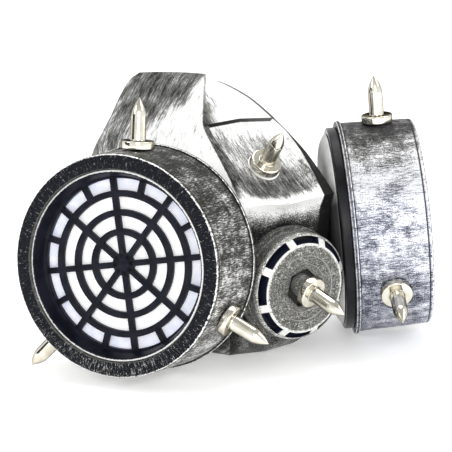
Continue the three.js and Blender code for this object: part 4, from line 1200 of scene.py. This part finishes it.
def makePlateFinish(name, side):
    # pale plastic, with painted shade where the plate faces the shell's cheek
    material = plainFinish(name, plateLook)
    tree = material.node_tree
    shader = tree.nodes["Principled BSDF"]
    parts = put(tree, "ShaderNodeSeparateXYZ", {"Vector": ownPlace(tree)}).outputs
    angle = sums(tree, "ARCTAN2", sums(tree, "MULTIPLY", parts["X"], -side), parts["Y"])
    # painted shade: near-black over the degrees the list gives
    paintedShade = ramp(tree, sums(tree, "MULTIPLY", angle, 180 / math.pi), plateLook["paintedShade"])
    tone = shader.inputs["Base Color"].links[0].from_socket
    tree.links.new(blendColour(tree, paintedShade, tone, (0.012, 0.012, 0.014)), shader.inputs["Base Color"])
    return material


plateLook = {"first": (0.74, 0.74, 0.72), "second": (0.66, 0.66, 0.65), "metallic": 0.0, "roughness": 0.45, "pitch": 1.4, "bump": 0.03,
             "specular": 0.2, "fleck": 0.3, "fleckColour": (0.2, 0.2, 0.2),
             "paintedShade": [(-180, 0.0), (48, 0.0), (64, 0.95), (102, 0.95), (114, 0.1), (180, 0.0)]}
plainLooks = {
    "base black": {"first": (0.01, 0.01, 0.011), "second": (0.02, 0.02, 0.023), "metallic": 0.0, "roughness": 0.22, "pitch": 0.8,
                   "bump": 0.015, "specular": 0.12},
    "neck black": {"first": (0.02, 0.02, 0.021), "second": (0.035, 0.035, 0.037), "metallic": 0.0, "roughness": 0.5, "pitch": 1.2, "bump": 0.03},
    "inside plastic": {"first": (0.05, 0.05, 0.05), "second": (0.085, 0.085, 0.083), "metallic": 0.0, "roughness": 0.55, "pitch": 0.8, "bump": 0.05},
    "valve black": {"first": (0.01, 0.011, 0.02), "second": (0.02, 0.022, 0.04), "metallic": 0.0, "roughness": 0.5, "pitch": 1.2, "bump": 0.03},
}
finishes = {name: plainFinish(name, look) for name, look in plainLooks.items()}
spikeFinish = makeSpikeFinish()
shellFinish = makeShellFinish()
valveFinish = makeValveFinish()
feltFinish = makeFeltFinish()
grilleFinish = makeGrilleFinish()
print("finishes made")


def standFor(piece, node, material=None):
    piece.name = node + "_fine"
    if material:
        piece.data.materials.clear()
        piece.data.materials.append(material)
    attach(piece, "root")
    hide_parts(node)


webTree = makeWebTree()
spikeTree = makeSpikeTree()
blank = spikeBlank()

for side, way in ((-1, "right"), (1, "left")):
    canFinish = makeCanFinish(way + " can silver", side, canLooks[way])
    standFor(makeHousing(side, way), way + "_filter_housing", canFinish)
    standFor(makeGrille(side, way, webTree, grilleFinish), way + "_filter_grille")
    standFor(makeFelt(side, way), way + "_filter_felt", feltFinish)
    standFor(makeBase(side, way), way + "_filter_base", finishes["base black"])
    standFor(makePlate(side, way), way + "_filter_plate", makePlateFinish(way + " plate grey", side))
    standFor(makeNeck(side, way), way + "_filter_neck", finishes["neck black"])
    place = canFrame(side)
    for number, (turn, depth) in enumerate(canSpikes[way], 1):
        height = depth * canSizes["depth"]
        radians = math.radians(turn)
        out = Vector((-side * math.sin(radians), math.cos(radians), 0))
        seat = place @ (out * wallRadius(height - spikeSizes["flangeRadius"]) + Vector((0, 0, height)))
        node = f"{way}_filter_spike_{number}"
        makeSpike(node + "_fine", node, seat, (place.to_3x3() @ out).normalized(), spikeTree, blank, spikeFinish)
print("filter cans made")

v = valveSizes
standFor(makeValveCap("cap"), "valve_cap", valveFinish)
standFor(makeValveBase("base"), "valve_base", valveFinish)
standFor(makeValveInsert("insert"), "valve_insert", finishes["valve black"])
place = valveFrame()
makeSpike("valve_spike_fine", "valve_spike", place @ Vector((0, 0, v["discHeight"] + v["hubStand"])),
          (place.to_3x3() @ valveSpikeLean()).normalized(), spikeTree, blank, spikeFinish)
makeSpike("nose_spike_fine", "nose_spike", noseSeat["seat"], noseSeat["lean"].normalized(), spikeTree, blank, spikeFinish)
bpy.data.objects.remove(blank)
print("valve and spikes made")

shell = makeShell("shell", shellFinish, finishes["inside plastic"])
standFor(shell, "mask_shell")
print("shell made")

bpy.context.view_layer.update()
